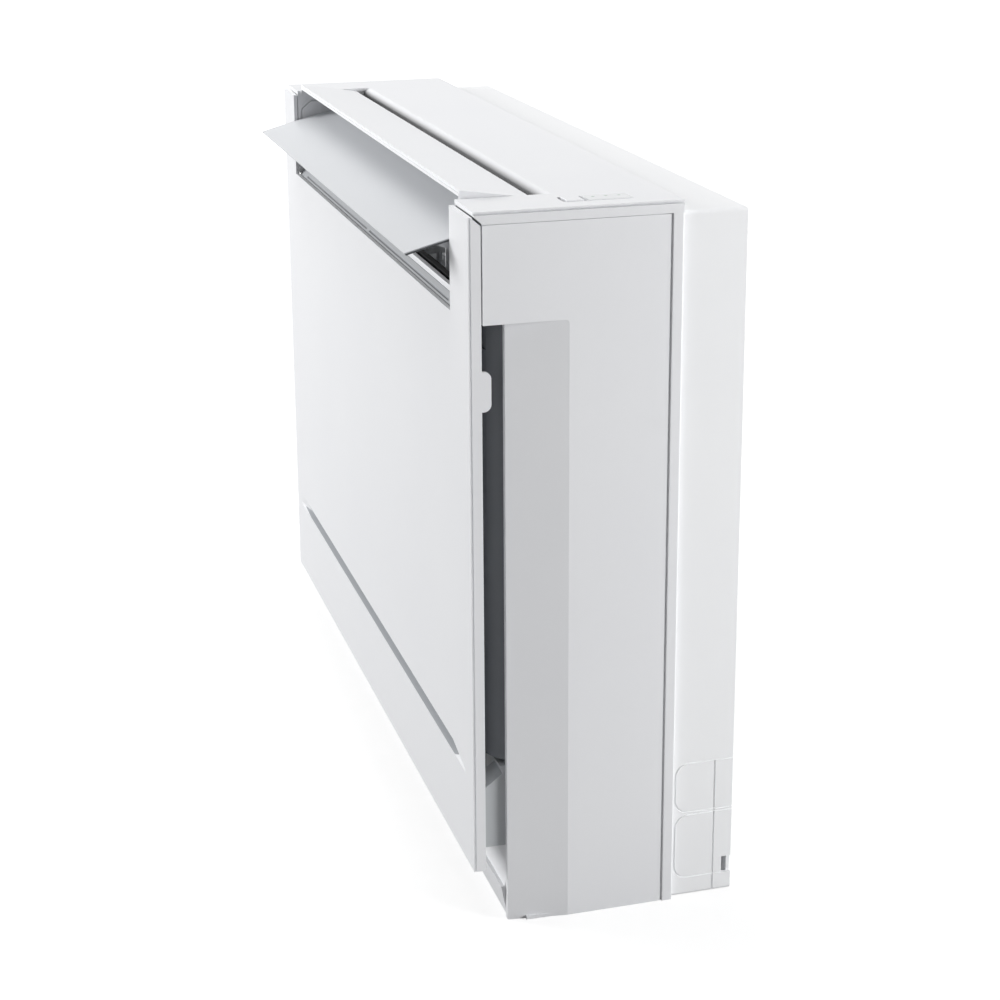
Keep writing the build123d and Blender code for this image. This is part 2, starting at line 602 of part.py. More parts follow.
with BuildPart() as front_casing:
    # flat top, with the outlet's mouth cut out of its front
    with BuildSketch(Plane.XY.offset(CEILING_Z)):
        with BuildLine():
            Polyline(
                (-HALF, LIP_Y),
                (-MOUTH_HALF, LIP_Y),
                (-MOUTH_HALF, SLOT_REAR_Y + ROLL_R),
                (MOUTH_HALF, SLOT_REAR_Y + ROLL_R),
                (MOUTH_HALF, LIP_Y),
                (HALF, LIP_Y),
                (HALF, CASE_REAR_Y),
                (-HALF, CASE_REAR_Y),
                close=True,
            )
        make_face()
    extrude(amount=TOP_T)
    # rolled edge behind the slot
    with BuildSketch(across(-MOUTH_HALF)):
        with BuildLine():
            roll = Line((SLOT_REAR_Y, CEILING_Z - ROLL_DROP), (SLOT_REAR_Y, HEIGHT - ROLL_R))
            rise = RadiusArc(roll @ 1, (SLOT_REAR_Y + ROLL_R, HEIGHT), ROLL_R)
            Polyline(
                rise @ 1,
                (SLOT_REAR_Y + ROLL_R, CEILING_Z),
                (SLOT_REAR_Y + WALL, HEIGHT - ROLL_R),
                (SLOT_REAR_Y + WALL, CEILING_Z - ROLL_DROP),
                roll @ 0,
            )
        make_face()
    extrude(amount=2 * MOUTH_HALF)
    # band round the top with the nose over the panel's flange, both ends
    with BuildSketch(across(CASE_IN)):
        with BuildLine():
            Polyline(
                (LIP_Y, HEIGHT),
                (LIP_Y, HEIGHT - LIP_H),
                (CASE_FRONT_Y, RIM_Z),
                (CASE_REAR_Y, RIM_Z),
                (CASE_REAR_Y, HEIGHT),
                close=True,
            )
        make_face()
    extrude(amount=HALF - CASE_IN)
    with BuildSketch(across(CHEEK_X)):
        with BuildLine():
            Polyline(
                (LIP_Y, HEIGHT),
                (LIP_Y, HEIGHT - LIP_H),
                (CASE_FRONT_Y, RIM_Z),
                (CASE_FRONT_Y + WALL, RIM_Z),
                (CASE_FRONT_Y + WALL, HEIGHT),
                close=True,
            )
        make_face()
    extrude(amount=HALF - CHEEK_X)
    # rear rim strip and the side wall above the scoop
    with BuildSketch(Plane.XY):
        with Locations(((CASE_IN + HALF) / 2, (RIM_REAR_Y + CASE_REAR_Y) / 2)):
            Rectangle(HALF - CASE_IN, RIM_W)
    extrude(amount=HEIGHT)
    with BuildSketch(Plane.XY.offset(SCOOP_TOP_Z)):
        with Locations(((CASE_IN + SIDE_X) / 2, (CASE_FRONT_Y + RIM_REAR_Y) / 2)):
            Rectangle(SIDE_X - CASE_IN, RIM_REAR_Y - CASE_FRONT_Y)
    extrude(amount=RIM_Z - SCOOP_TOP_Z)
    # side wall drawn in towards the front, so air can pass behind the panel
    with BuildSketch(Plane.XY):
        with BuildLine():
            skin = Line((SIDE_X, RIM_REAR_Y), (SIDE_X, SCOOP_REAR_Y))
            draw = ThreePointArc(
                skin @ 1,
                (SIDE_X - SCOOP_BOW * SCOOP_IN, (SCOOP_REAR_Y + SCOOP_FRONT_Y) / 2),
                (SCOOP_X, SCOOP_FRONT_Y),
            )
            Polyline(
                draw @ 1,
                (SCOOP_X - SCOOP_EDGE_T, SCOOP_FRONT_Y),
                (SCOOP_X - SCOOP_EDGE_T, SCOOP_FRONT_Y + WALL),
                (SCOOP_X - WALL, SCOOP_FRONT_Y + 2 * WALL),
                (CASE_IN, SCOOP_REAR_Y),
                (CASE_IN, RIM_REAR_Y),
                skin @ 0,
            )
        make_face()
    extrude(amount=SCOOP_TOP_Z + WALL)
    # floor of the end box over the scoop, and its front wall behind the panel's post
    with BuildSketch(Plane.XY.offset(SCOOP_TOP_Z)):
        with Locations(((CHEEK_X + SIDE_X) / 2, (CASE_FRONT_Y + SCOOP_REAR_Y) / 2)):
            Rectangle(SIDE_X - CHEEK_X, SCOOP_REAR_Y - CASE_FRONT_Y)
    extrude(amount=WALL)
    with BuildSketch(facing(PEG_BACK_Y)):
        with Locations(((CHEEK_X + SIDE_X) / 2, (SCOOP_TOP_Z + CEILING_Z) / 2)):
            Rectangle(SIDE_X - CHEEK_X, CEILING_Z - SCOOP_TOP_Z)
        with Locations((PEG_X, PEG_Z)):
            Circle(PEG_HOLE_R, mode=Mode.SUBTRACT)
    extrude(amount=WALL)
    # end cheek with its chamfered nose, which carries the flap and the visor
    with BuildSketch(across(CHEEK_X)):
        with BuildLine():
            Polyline(
                (FLAP_PIVOT_Y - CHEEK_NOSE, FLAP_PIVOT_Z - CHEEK_DOWN),
                (FLAP_PIVOT_Y - CHEEK_NOSE, FLAP_PIVOT_Z + CHEEK_UP),
                (FLANGE_Y, RIM_Z),
                (VISOR_PIVOT_Y - CHEEK_BACK, CEILING_Z),
                (CHEEK_REAR_Y, CEILING_Z),
                (CHEEK_REAR_Y, SCOOP_TOP_Z),
                (CASE_FRONT_Y, SCOOP_TOP_Z),
                (CASE_FRONT_Y, FLAP_PIVOT_Z - CHEEK_FOOT),
                close=True,
            )
        make_face()
    extrude(amount=CHEEK_T)
    with BuildSketch(across(CHEEK_X)):
        with Locations((FLAP_PIVOT_Y, FLAP_PIVOT_Z)):
            Circle(FLAP_PIN_R + RUN)
        with Locations((VISOR_PIVOT_Y, VISOR_PIVOT_Z)):
            Circle(VISOR_PIN_R + RUN)
    extrude(amount=CHEEK_T + SEAT, mode=Mode.SUBTRACT)
    # groove beside the rear rim strip
    with BuildSketch(Plane.XY):
        with Locations((SIDE_X - RIM_GROOVE_D / 2, RIM_REAR_Y - RIM_GROOVE_W / 2)):
            Rectangle(RIM_GROOVE_D, RIM_GROOVE_W)
    extrude(amount=RIM_Z, mode=Mode.SUBTRACT)
    mirror(about=Plane.YZ)
    # rear edge of the top turned down onto the chassis, and the base plate
    with BuildSketch(Plane.XY.offset(RIM_Z + SEAT)):
        with Locations((0, CASE_REAR_Y - WALL / 2)):
            Rectangle(2 * CASE_IN, WALL)
    extrude(amount=CEILING_Z - RIM_Z - SEAT)
    with BuildSketch(Plane.XY):
        with BuildLine():
            Polyline(
                (-CASE_IN, BASE_FRONT_Y),
                (CASE_IN, BASE_FRONT_Y),
                (CASE_IN + WALL / 2, SCOOP_REAR_Y),
                (CASE_IN + WALL / 2, OVERLAP_Y - SEAT),
                (-CASE_IN - WALL / 2, OVERLAP_Y - SEAT),
                (-CASE_IN - WALL / 2, SCOOP_REAR_Y),
                close=True,
            )
        make_face()
    extrude(amount=BASE_T)
    # hole for the button and bed for the window, at the right end of the top
    with BuildSketch(Plane.XY.offset(CEILING_Z)):
        with Locations((BUTTON_X, BUTTON_Y)):
            RectangleRounded(BUTTON_W + 2 * BUTTON_SLACK, BUTTON_L + 2 * BUTTON_SLACK, CORNER_R)
    extrude(amount=TOP_T, mode=Mode.SUBTRACT)
    with BuildSketch(Plane.XY.offset(HEIGHT - WINDOW_T)):
        with Locations((BUTTON_X, WINDOW_Y)):
            RectangleRounded(WINDOW_W + 2 * SEAT, WINDOW_L + 2 * SEAT, CORNER_R)
    extrude(amount=WINDOW_T, mode=Mode.SUBTRACT)
    # two posts that carry the display board
    with BuildSketch(Plane.XY.offset(DISPLAY_Z + BOARD_T)):
        with Locations((BUTTON_X, BOARD_FRONT_Y), (BUTTON_X, BOARD_BACK_Y)):
            Circle(POST_R)
    extrude(amount=CEILING_Z - DISPLAY_Z - BOARD_T)
    with BuildSketch(Plane.XY.offset(CEILING_Z)):
        with Locations(*LAMP_PLACES):
            Circle(LAMP_R + RUN)
    extrude(amount=TOP_T, mode=Mode.SUBTRACT)
finish(front_casing, "front_casing")

# ---------------------------------------------------------------- chassis
def knock_outline(low, high):
    """Ring on the side wall that marks a piece to be broken out."""
    reach = BACK_Y + KNOCK_R - KNOCK_FRONT_Y
    with Locations((KNOCK_FRONT_Y + reach / 2, (low + high) / 2)):
        RectangleRounded(reach, high - low, KNOCK_R)
        RectangleRounded(
            reach - 2 * KNOCK_W, high - low - 2 * KNOCK_W, KNOCK_R - KNOCK_W, mode=Mode.SUBTRACT
        )


with BuildPart() as chassis:
    with BuildSketch(facing(BACK_Y)):
        with Locations((0, CHASSIS_TOP_Z / 2)):
            RectangleRounded(2 * CHASSIS_HALF, CHASSIS_TOP_Z, CHASSIS_R)
    extrude(amount=CHASSIS_LEN)
    with BuildSketch(facing(INNER_BACK_Y)):
        with Locations((0, CHASSIS_TOP_Z / 2)):
            Rectangle(2 * (CHASSIS_HALF - CHASSIS_T), CHASSIS_TOP_Z - 2 * CHASSIS_T)
    extrude(amount=CHASSIS_LEN, mode=Mode.SUBTRACT)
    # stiffening ribs inside the back wall
    with BuildSketch(facing(INNER_BACK_Y)):
        with Locations(*[(0, HEIGHT * share) for share in BACK_RIB_SHARES]):
            Rectangle(2 * CHASSIS_HALF - 2 * CHASSIS_T, BACK_RIB_T)
    extrude(amount=BACK_RIB_H)
    # bosses and holes for the wall screws
    with BuildSketch(facing(INNER_BACK_Y)):
        with Locations((0, FIX_MID_Z)):
            with GridLocations(FIX_X, FIX_Z, 2, 2):
                Circle(FIX_BOSS_R)
    extrude(amount=FIX_BOSS_H)
    with BuildSketch(facing(BACK_Y)):
        with Locations((0, FIX_MID_Z)):
            with GridLocations(FIX_X, FIX_Z, 2, 2):
                Circle(FIX_R)
        # windows for the pipes, left and right
        with Locations((-PIPE_WINDOW_X, PIPE_WINDOW_Z), (PIPE_WINDOW_X, PIPE_WINDOW_Z)):
            RectangleRounded(PIPE_WINDOW_W, PIPE_WINDOW_H, PIPE_WINDOW_R)
        with Locations((GLAND_X, GLAND_Z)):
            Circle(GLAND_R - SEAT)
    extrude(amount=CHASSIS_T + FIX_BOSS_H, mode=Mode.SUBTRACT)
    # score lines of the side knock-outs
    for side in (-1, 1):
        with BuildSketch(across(side * CHASSIS_HALF)):
            knock_outline(KNOCK_LOW_Z, KNOCK_MID_Z)
            knock_outline(KNOCK_MID_Z + KNOCK_W, KNOCK_TOP_Z)
            with Locations((KNOCK_SEAM_Y, KNOCK_TOP_Z / 2)):
                Rectangle(KNOCK_W, KNOCK_TOP_Z)
        extrude(amount=-side * KNOCK_D, mode=Mode.SUBTRACT)
        with BuildSketch(across(side * CHASSIS_HALF)):
            with Locations(((KNOCK_CUT_Y + BACK_Y) / 2, (KNOCK_LOW_Z + KNOCK_CUT_Z) / 2)):
                Rectangle(BACK_Y - KNOCK_CUT_Y, KNOCK_CUT_Z - KNOCK_LOW_Z)
        extrude(amount=-side * CHASSIS_T, mode=Mode.SUBTRACT)
finish(chassis, "chassis")

# ---------------------------------------------------------------- front panel
GROOVE_LOW_Z = GROOVE_TOP_Z - GROOVE_H


def groove_section(depth, front):
    """Section of the pressed groove: a long slope inwards and a short ledge below."""
    Polygon(
        (front, GROOVE_TOP_Z),
        (FACE_Y, GROOVE_TOP_Z),
        (FACE_Y + depth, GROOVE_LOW_Z + GROOVE_H * GROOVE_FLOOR),
        (FACE_Y, GROOVE_LOW_Z),
        (front, GROOVE_LOW_Z),
        align=None,
    )


def groove_backing():
    """Section of the wall behind the groove."""
    Polygon(
        (PANEL_BACK_Y - PANEL_T / 2, GROOVE_TOP_Z + GROOVE_WALL * 2),
        (PANEL_BACK_Y, GROOVE_TOP_Z + GROOVE_WALL * 2),
        (FACE_Y + GROOVE_D + GROOVE_WALL, GROOVE_LOW_Z + GROOVE_H * GROOVE_FLOOR + GROOVE_WALL / 2),
        (FACE_Y + GROOVE_D + GROOVE_WALL, GROOVE_LOW_Z),
        (PANEL_BACK_Y, GROOVE_LOW_Z - GROOVE_WALL * 2),
        (PANEL_BACK_Y - PANEL_T / 2, GROOVE_LOW_Z - GROOVE_WALL * 2),
        align=None,
    )


with BuildPart() as front_panel:
    with BuildSketch(facing(PANEL_BACK_Y)):
        with Locations((0, (PANEL_BOTTOM_Z + PANEL_TOP_Z) / 2)):
            Rectangle(WIDTH, PANEL_TOP_Z - PANEL_BOTTOM_Z)
        with Locations((0, (NOTCH_Z + HEIGHT) / 2)):
            Rectangle(2 * NOTCH_HALF, HEIGHT - NOTCH_Z, mode=Mode.SUBTRACT)
    extrude(amount=PANEL_T)
    # side flange with the pull tab behind it
    with BuildSketch(across(HALF - FLANGE_T)):
        with BuildLine():
            Polyline(
                (PANEL_BACK_Y - BITE, PANEL_BOTTOM_Z),
                (FLANGE_Y, PANEL_BOTTOM_Z),
                (FLANGE_Y, RIM_Z - LIP_GAP),
                (PANEL_BACK_Y, PANEL_TOP_Z - LIP_GAP),
                (PANEL_BACK_Y - BITE, PANEL_TOP_Z - LIP_GAP),
                close=True,
            )
        make_face()
        with Locations((FLANGE_Y, TAB_Z)):
            RectangleRounded(2 * TAB_D, TAB_H, TAB_D - BITE)
    extrude(amount=FLANGE_T)
    # hinge arm and pin near the bottom corner
    with BuildSketch(across(BLOCK_X - SEAT - HINGE_ARM_T)):
        with Locations((HINGE_Y, HINGE_Z)):
            Circle(HINGE_ARM_R)
        with Locations(((PANEL_BACK_Y - BITE + HINGE_Y) / 2, HINGE_Z)):
            Rectangle(HINGE_Y - PANEL_BACK_Y + BITE, 2 * HINGE_ARM_R)
    extrude(amount=HINGE_ARM_T)
    with BuildSketch(across(BLOCK_X - SEAT)):
        with Locations((HINGE_Y, HINGE_Z)):
            Circle(HINGE_PIN_R)
    extrude(amount=HINGE_PIN_L)
    # catch peg that springs into the casing
    with BuildSketch(facing(PANEL_BACK_Y)):
        with Locations((PEG_X, PEG_Z)):
            Circle(PEG_R)
    extrude(amount=-(PEG_BACK_Y - PANEL_BACK_Y))
    mirror(about=Plane.YZ)
    # stiffening ribs on the back
    with BuildSketch(facing(PANEL_BACK_Y)):
        with Locations(*[(0, HEIGHT * share) for share in RIB_SHARES]):
            Rectangle(2 * RIB_HALF, RIB_T)
    extrude(amount=-RIB_D)
    # wall behind the groove, then the groove itself with its run-out ends
    with BuildSketch(across(GROOVE_LEFT_X)):
        groove_backing()
    extrude(amount=GROOVE_RIGHT_X - GROOVE_LEFT_X)
    with BuildSketch(across(GROOVE_LEFT_X)):
        groove_section(GROOVE_D, FACE_Y - BITE)
    with BuildSketch(across(GROOVE_RIGHT_X)):
        groove_section(GROOVE_D, FACE_Y - BITE)
    loft(mode=Mode.SUBTRACT)
    for inner, tip in ((GROOVE_LEFT_X, -GROOVE_TIP_X), (GROOVE_RIGHT_X, GROOVE_TIP_X)):
        with BuildSketch(across(inner)):
            groove_section(GROOVE_END_D, FACE_Y - BITE)
        with BuildSketch(across(tip)):
            groove_section(GROOVE_TIP_D, FACE_Y - BITE)
        loft(mode=Mode.SUBTRACT)
    outer = front_panel.edges().filter_by(Axis.Z).group_by(Axis.Y)[0].sort_by(Axis.X)
    fillet([outer[0], outer[-1]], PANEL_EDGE_R)
finish(front_panel, "front_panel")

# ---------------------------------------------------------------- hinge blocks
with BuildPart() as hinge_blocks:
    with BuildSketch(across(BLOCK_X)):
        with BuildLine():
            Polyline(
                (BLOCK_FRONT_Y, APRON_TOP_Z + SEAT),
                (BLOCK_FRONT_Y, BLOCK_TOP_Z - BLOCK_SLOPE),
                (BLOCK_REAR_Y - 2 * WALL / 2 - SEAT, BLOCK_TOP_Z - BLOCK_STEP),
                (BLOCK_REAR_Y - 2 * WALL, BLOCK_TOP_Z),
                (BLOCK_REAR_Y, BLOCK_TOP_Z),
                (BLOCK_REAR_Y, APRON_TOP_Z + SEAT),
                close=True,
            )
        make_face()
    extrude(amount=BLOCK_OUT_X - BLOCK_X)
    # blind bore for the panel's hinge pin
    with BuildSketch(across(BLOCK_X)):
        with Locations((HINGE_Y, HINGE_Z)):
            Circle(HINGE_PIN_R + RUN)
    extrude(amount=HINGE_PIN_L, mode=Mode.SUBTRACT)
    mirror(about=Plane.YZ)
finish(hinge_blocks, "hinge_blocks")

# ---------------------------------------------------------------- base apron
with BuildPart() as base_apron:
    with BuildSketch(across(-BLOCK_OUT_X)):
        with BuildLine():
            Polyline(
                (APRON_FOOT_Y, 0),
                (APRON_LIP_Y, APRON_LIP_Z),
                (APRON_LIP_Y + APRON_LIP_T, APRON_LIP_Z),
                (APRON_TOP_Y - WALL, APRON_TOP_Z),
                (BASE_FRONT_Y - SEAT, APRON_TOP_Z),
                (BASE_FRONT_Y - SEAT, 0),
                close=True,
            )
        make_face()
    extrude(amount=2 * BLOCK_OUT_X)
finish(base_apron, "base_apron")

# ---------------------------------------------------------------- outlet flap
FLAP_FACE = FACE_Y - FLAP_PIVOT_Y
FLAP_INNER = FLAP_FACE + FLAP_T
FLAP_MID = -FLAP_LOW / 10

with BuildPart() as outlet_flap:
    with BuildSketch(tilted(FLAP_PIVOT_Y, FLAP_PIVOT_Z, -FLAP_OPEN).offset(-FLAP_HALF)):
        with BuildLine():
            outer = ThreePointArc(
                (FLAP_FACE, -FLAP_LOW),
                (FLAP_FACE, FLAP_MID),
                (FLAP_FACE + FLAP_BOW, FLAP_HIGH),
            )
            tip = RadiusArc(outer @ 1, (FLAP_INNER + FLAP_BOW, FLAP_HIGH - BITE), -FLAP_T * 0.55)
            inner = ThreePointArc(
                tip @ 1,
                (FLAP_INNER, FLAP_MID),
                (FLAP_FACE + FLAP_T * 0.6, -FLAP_LOW + BITE / 2),
            )
            Line(inner @ 1, outer @ 0)
        make_face()
    extrude(amount=2 * FLAP_HALF)
    # arms at the two ends, with the pivot pins
    for x, way in ((-FLAP_HALF, 1), (FLAP_HALF, -1)):
        with BuildSketch(tilted(FLAP_PIVOT_Y, FLAP_PIVOT_Z, -FLAP_OPEN).offset(x)):
            Circle(FLAP_BOSS_R)
            with BuildLine():
                Polyline(
                    (FLAP_INNER - BITE, -FLAP_LOW * 0.42),
                    (FLAP_INNER - BITE, FLAP_HIGH * 0.55),
                    (0, FLAP_BOSS_R),
                    (FLAP_BOSS_R * 0.8, -FLAP_BOSS_R * 0.6),
                    close=True,
                )
            make_face()
        extrude(amount=way * FLAP_ARM_T)
        with BuildSketch(tilted(FLAP_PIVOT_Y, FLAP_PIVOT_Z, -FLAP_OPEN).offset(x)):
            Circle(FLAP_PIN_R)
        extrude(amount=-way * (CHEEK_X + CHEEK_T - FLAP_HALF))
finish(outlet_flap, "outlet_flap")

# ---------------------------------------------------------------- top visor
VISOR_RISE = HEIGHT - VISOR_PIVOT_Z

with BuildPart() as top_visor:
    with BuildSketch(tilted(VISOR_PIVOT_Y, VISOR_PIVOT_Z, -VISOR_OPEN).offset(-VISOR_HALF)):
        with BuildLine():
            top = Line((-VISOR_FRONT, VISOR_RISE), (VISOR_REAR - VISOR_T, VISOR_RISE))
            heel = RadiusArc(top @ 1, (VISOR_REAR, VISOR_RISE - VISOR_T), VISOR_T)
            Polyline(
                heel @ 1,
                (VISOR_REAR - VISOR_T, VISOR_RISE - VISOR_T),
                (-VISOR_FRONT + VISOR_T, VISOR_RISE - VISOR_T),
                (-VISOR_FRONT + VISOR_T * 0.6, VISOR_RISE - VISOR_LIP_H),
                (-VISOR_FRONT, VISOR_RISE - VISOR_LIP_H + VISOR_T / 5),
                top @ 0,
            )
        make_face()
    extrude(amount=2 * VISOR_HALF)
    for x, way in ((-VISOR_HALF, 1), (VISOR_HALF, -1)):
        with BuildSketch(tilted(VISOR_PIVOT_Y, VISOR_PIVOT_Z, -VISOR_OPEN).offset(x)):
            Circle(VISOR_EAR_R)
            with Locations((0, VISOR_RISE / 2)):
                Rectangle(2 * VISOR_EAR_R, VISOR_RISE - VISOR_T / 2)
        extrude(amount=way * FLAP_ARM_T)
        # skirt that closes the visor's end when it is up
        with BuildSketch(tilted(VISOR_PIVOT_Y, VISOR_PIVOT_Z, -VISOR_OPEN).offset(x)):
            with BuildLine():
                Polyline(
                    (VISOR_T / 5 - VISOR_FRONT, VISOR_RISE - VISOR_T / 2),
                    (VISOR_T / 5 - VISOR_FRONT, VISOR_RISE - VISOR_T - VISOR_SKIRT_H),
                    (0, 0),
                    (0, VISOR_RISE - VISOR_T / 2),
                    close=True,
                )
            make_face()
        extrude(amount=way * VISOR_SKIRT_T)
        with BuildSketch(tilted(VISOR_PIVOT_Y, VISOR_PIVOT_Z, -VISOR_OPEN).offset(x)):
            Circle(VISOR_PIN_R)
        extrude(amount=-way * (CHEEK_X + CHEEK_T - VISOR_HALF))
finish(top_visor, "top_visor")

# ---------------------------------------------------------------- outlet ledge
LEDGE_HALF = CHEEK_X - SEAT

with BuildPart() as outlet_ledge:
    with BuildSketch(across(-LEDGE_HALF)):
        with BuildLine():
            Polyline(
                (LEDGE_FRONT_Y, LEDGE_Z),
                (LEDGE_STRIP_Y - BITE / 2, LEDGE_STEP_TOP_Z),
                (LEDGE_STRIP_Y, LEDGE_TOP_Z),
                (LEDGE_REAR_Y, LEDGE_TOP_Z),
                (LEDGE_REAR_Y, LEDGE_Z - LEDGE_DROP),
                (LEDGE_REAR_Y - WALL, LEDGE_Z - LEDGE_DROP),
                (LEDGE_REAR_Y - WALL, LEDGE_Z + WALL),
                (LEDGE_FRONT_Y + WALL, LEDGE_Z - WALL),
                (LEDGE_FRONT_Y, LEDGE_Z - WALL),
                close=True,
            )
        make_face()
    extrude(amount=2 * LEDGE_HALF)
    # slit along the lip, with a bridge at its middle
    slit_y = LEDGE_FRONT_Y + LEDGE_SLIT_IN
    with BuildSketch(Plane.XY.offset(LEDGE_TOP_Z)):
        with Locations((-LEDGE_SLIT_X / 2, slit_y), (LEDGE_SLIT_X / 2, slit_y)):
            Rectangle(LEDGE_SLIT_X - LEDGE_SLIT_GAP, LEDGE_SLIT_W)
    extrude(amount=LEDGE_Z + LEDGE_SLIT_D - LEDGE_TOP_Z, mode=Mode.SUBTRACT)
finish(outlet_ledge, "outlet_ledge")

# ---------------------------------------------------------------- upper duct
DUCT_TOP_Z = CEILING_Z - DUCT_TOP_GAP
DUCT_TOP_Y = SLOT_REAR_Y + WALL + DUCT_SEAT
DUCT_END_Y = INNER_BACK_Y - SEAT

with BuildPart() as upper_duct:
    # lower wall with the deck that the vanes stand on
    with BuildSketch(across(-DUCT_HALF)):
        with BuildLine():
            Polyline(
                (DUCT_FRONT_Y, DUCT_LIP_Z),
                (DUCT_FRONT_Y + WALL, DUCT_LIP_Z),
                (DUCT_FRONT_Y + WALL + BITE, DECK_Z),
                (DECK_REAR_Y, DECK_Z),
                (SHROUD_Y - SEAT, DUCT_END_Z + DUCT_STEP),
                (SHROUD_Y - SEAT, DUCT_END_Z),
                (SHROUD_Y - SEAT - WALL, DUCT_END_Z),
                (DECK_REAR_Y - WALL / 2, DECK_Z - WALL),
                (DUCT_FRONT_Y, DECK_Z - WALL),
                close=True,
            )
        make_face()
    extrude(amount=2 * DUCT_HALF)
    # long curved wall behind the air stream
    with BuildSketch(across(-DUCT_HALF)):
        with BuildLine():
            over = ThreePointArc(
                (DUCT_TOP_Y, DUCT_TOP_Z), (DUCT_MID_Y, DUCT_MID_Z), (DUCT_END_Y, DUCT_END_Z)
            )
            low = ThreePointArc(
                (DUCT_END_Y - WALL, DUCT_END_Z),
                (DUCT_MID_Y - WALL * 0.6, DUCT_MID_Z - WALL * 0.8),
                (DUCT_TOP_Y, DUCT_TOP_Z - WALL),
            )
            Line(over @ 1, low @ 0)
            Line(low @ 1, over @ 0)
        make_face()
    extrude(amount=2 * DUCT_HALF)
    # end walls behind the cheeks
    for x in (-DUCT_HALF, DUCT_HALF - WALL):
        with BuildSketch(across(x)):
            with BuildLine():
                wall = ThreePointArc(
                    (DUCT_TOP_Y, DUCT_TOP_Z), (DUCT_MID_Y, DUCT_MID_Z), (DUCT_END_Y, DUCT_END_Z)
                )
                Polyline(
                    wall @ 1,
                    (SHROUD_Y - SEAT - WALL, DUCT_END_Z),
                    (DECK_REAR_Y - WALL / 2, DECK_Z - WALL),
                    (DUCT_FRONT_Y, DECK_Z - WALL),
                    (DUCT_FRONT_Y, DUCT_LIP_Z),
                    (CHEEK_REAR_Y - DUCT_CUT, DUCT_LIP_Z),
                    (DUCT_TOP_Y, DUCT_TOP_Z - DUCT_NOTCH),
                    wall @ 0,
                )
            make_face()
        extrude(amount=WALL)
    # bores for the vanes' lower pins
    with BuildSketch(Plane.XY.offset(DECK_Z - WALL)):
        for side in (-1, 1):
            with Locations(
                *[(side * (VANE_FIRST_X + i * VANE_PITCH), VANE_Y) for i in range(VANES_A_SIDE)]
            ):
                Circle(VANE_PIN_R + RUN)
    extrude(amount=WALL, mode=Mode.SUBTRACT)
finish(upper_duct, "upper_duct")

# ---------------------------------------------------------------- draught strip
with BuildPart() as draught_strip:
    with Locations((0, DUCT_FRONT_Y + WALL + BITE + SEAT, DECK_Z + RUN)):
        Box(
            2 * (DUCT_HALF - WALL - SEAT),
            STRIP_W,
            STRIP_T,
            align=(Align.CENTER, Align.MIN, Align.MIN),
        )
finish(draught_strip, "draught_strip")

# ---------------------------------------------------------------- vanes and their links
BLADE_Z = DECK_Z + VANE_LIFT
LINK_Z = DECK_Z + LINK_LIFT


def vane_x(side, i):
    """Pivot of vane i, counted outwards from the middle."""
    return side * (VANE_FIRST_X + i * VANE_PITCH)


def make_vane(x):
    """One upright vane: a blade with rounded corners, a pivot post and a link pin."""
    with BuildPart() as vane:
        with BuildSketch(across(x - VANE_T / 2)):
            with BuildLine():
                Polyline(
                    (VANE_Y - VANE_REACH, BLADE_Z),
                    (VANE_Y + VANE_REACH, BLADE_Z),
                    (VANE_Y + VANE_REACH, BLADE_Z + VANE_H * 0.8),
                    (VANE_Y + VANE_REACH * 0.5, BLADE_Z + VANE_H),
                    (VANE_Y - VANE_REACH * 0.6, BLADE_Z + VANE_H * 0.9),
                    (VANE_Y - VANE_REACH, BLADE_Z + VANE_H * 0.62),
                    close=True,
                )
            make_face()
        extrude(amount=VANE_T)
        with BuildSketch(Plane.XY.offset(DECK_Z + SEAT)):
            with Locations((x, VANE_Y)):
                Circle(VANE_POST_R)
        extrude(amount=VANE_LIFT + VANE_POST_R)
        with BuildSketch(Plane.XY.offset(DECK_Z - WALL)):
            with Locations((x, VANE_Y)):
                Circle(VANE_PIN_R)
        extrude(amount=VANE_LIFT)
        with BuildSketch(Plane.XY.offset(LINK_Z)):
            with Locations((x, VANE_Y + VANE_ARM)):
                Circle(LINK_PIN_R)
        extrude(amount=VANE_LIFT)
    return vane


def make_link(side):
    """Bar with one slot for each vane of its side."""
    last = vane_x(side, VANES_A_SIDE - 1)
    first = vane_x(side, 0)
    swing = radians(VANE_SWING)
    draw_in = VANE_ARM * (1 - cos(swing))
    with BuildPart() as link:
        with BuildSketch(Plane.XY.offset(LINK_Z)):
            with Locations(((first + last) / 2, VANE_Y + VANE_ARM - draw_in / 2)):
                RectangleRounded(abs(last - first) + 2 * LINK_W, LINK_W + draw_in, LINK_R)
            for i in range(VANES_A_SIDE):
                with Locations((vane_x(side, i), VANE_Y + VANE_ARM - draw_in / 2)):
                    Rectangle(
                        2 * (LINK_PIN_R + LINK_SLACK),
                        2 * (LINK_PIN_R + LINK_SLACK) + draw_in,
                        mode=Mode.SUBTRACT,
                    )
        extrude(amount=LINK_T)
    return link


for side, hand in ((-1, "left"), (1, "right")):
    for i in range(VANES_A_SIDE):
        finish(make_vane(vane_x(side, i)), f"vane_{hand}_{i + 1}")
    finish(make_link(side), f"vane_link_{hand}")

# ---------------------------------------------------------------- small motors
def gear_motor():
    """Outline of a small gear motor: its round body and the two ears of its flange."""
    Circle(SMALL_MOTOR_R)
    SlotOverall(SMALL_MOTOR_EARS, SMALL_MOTOR_EAR_W)


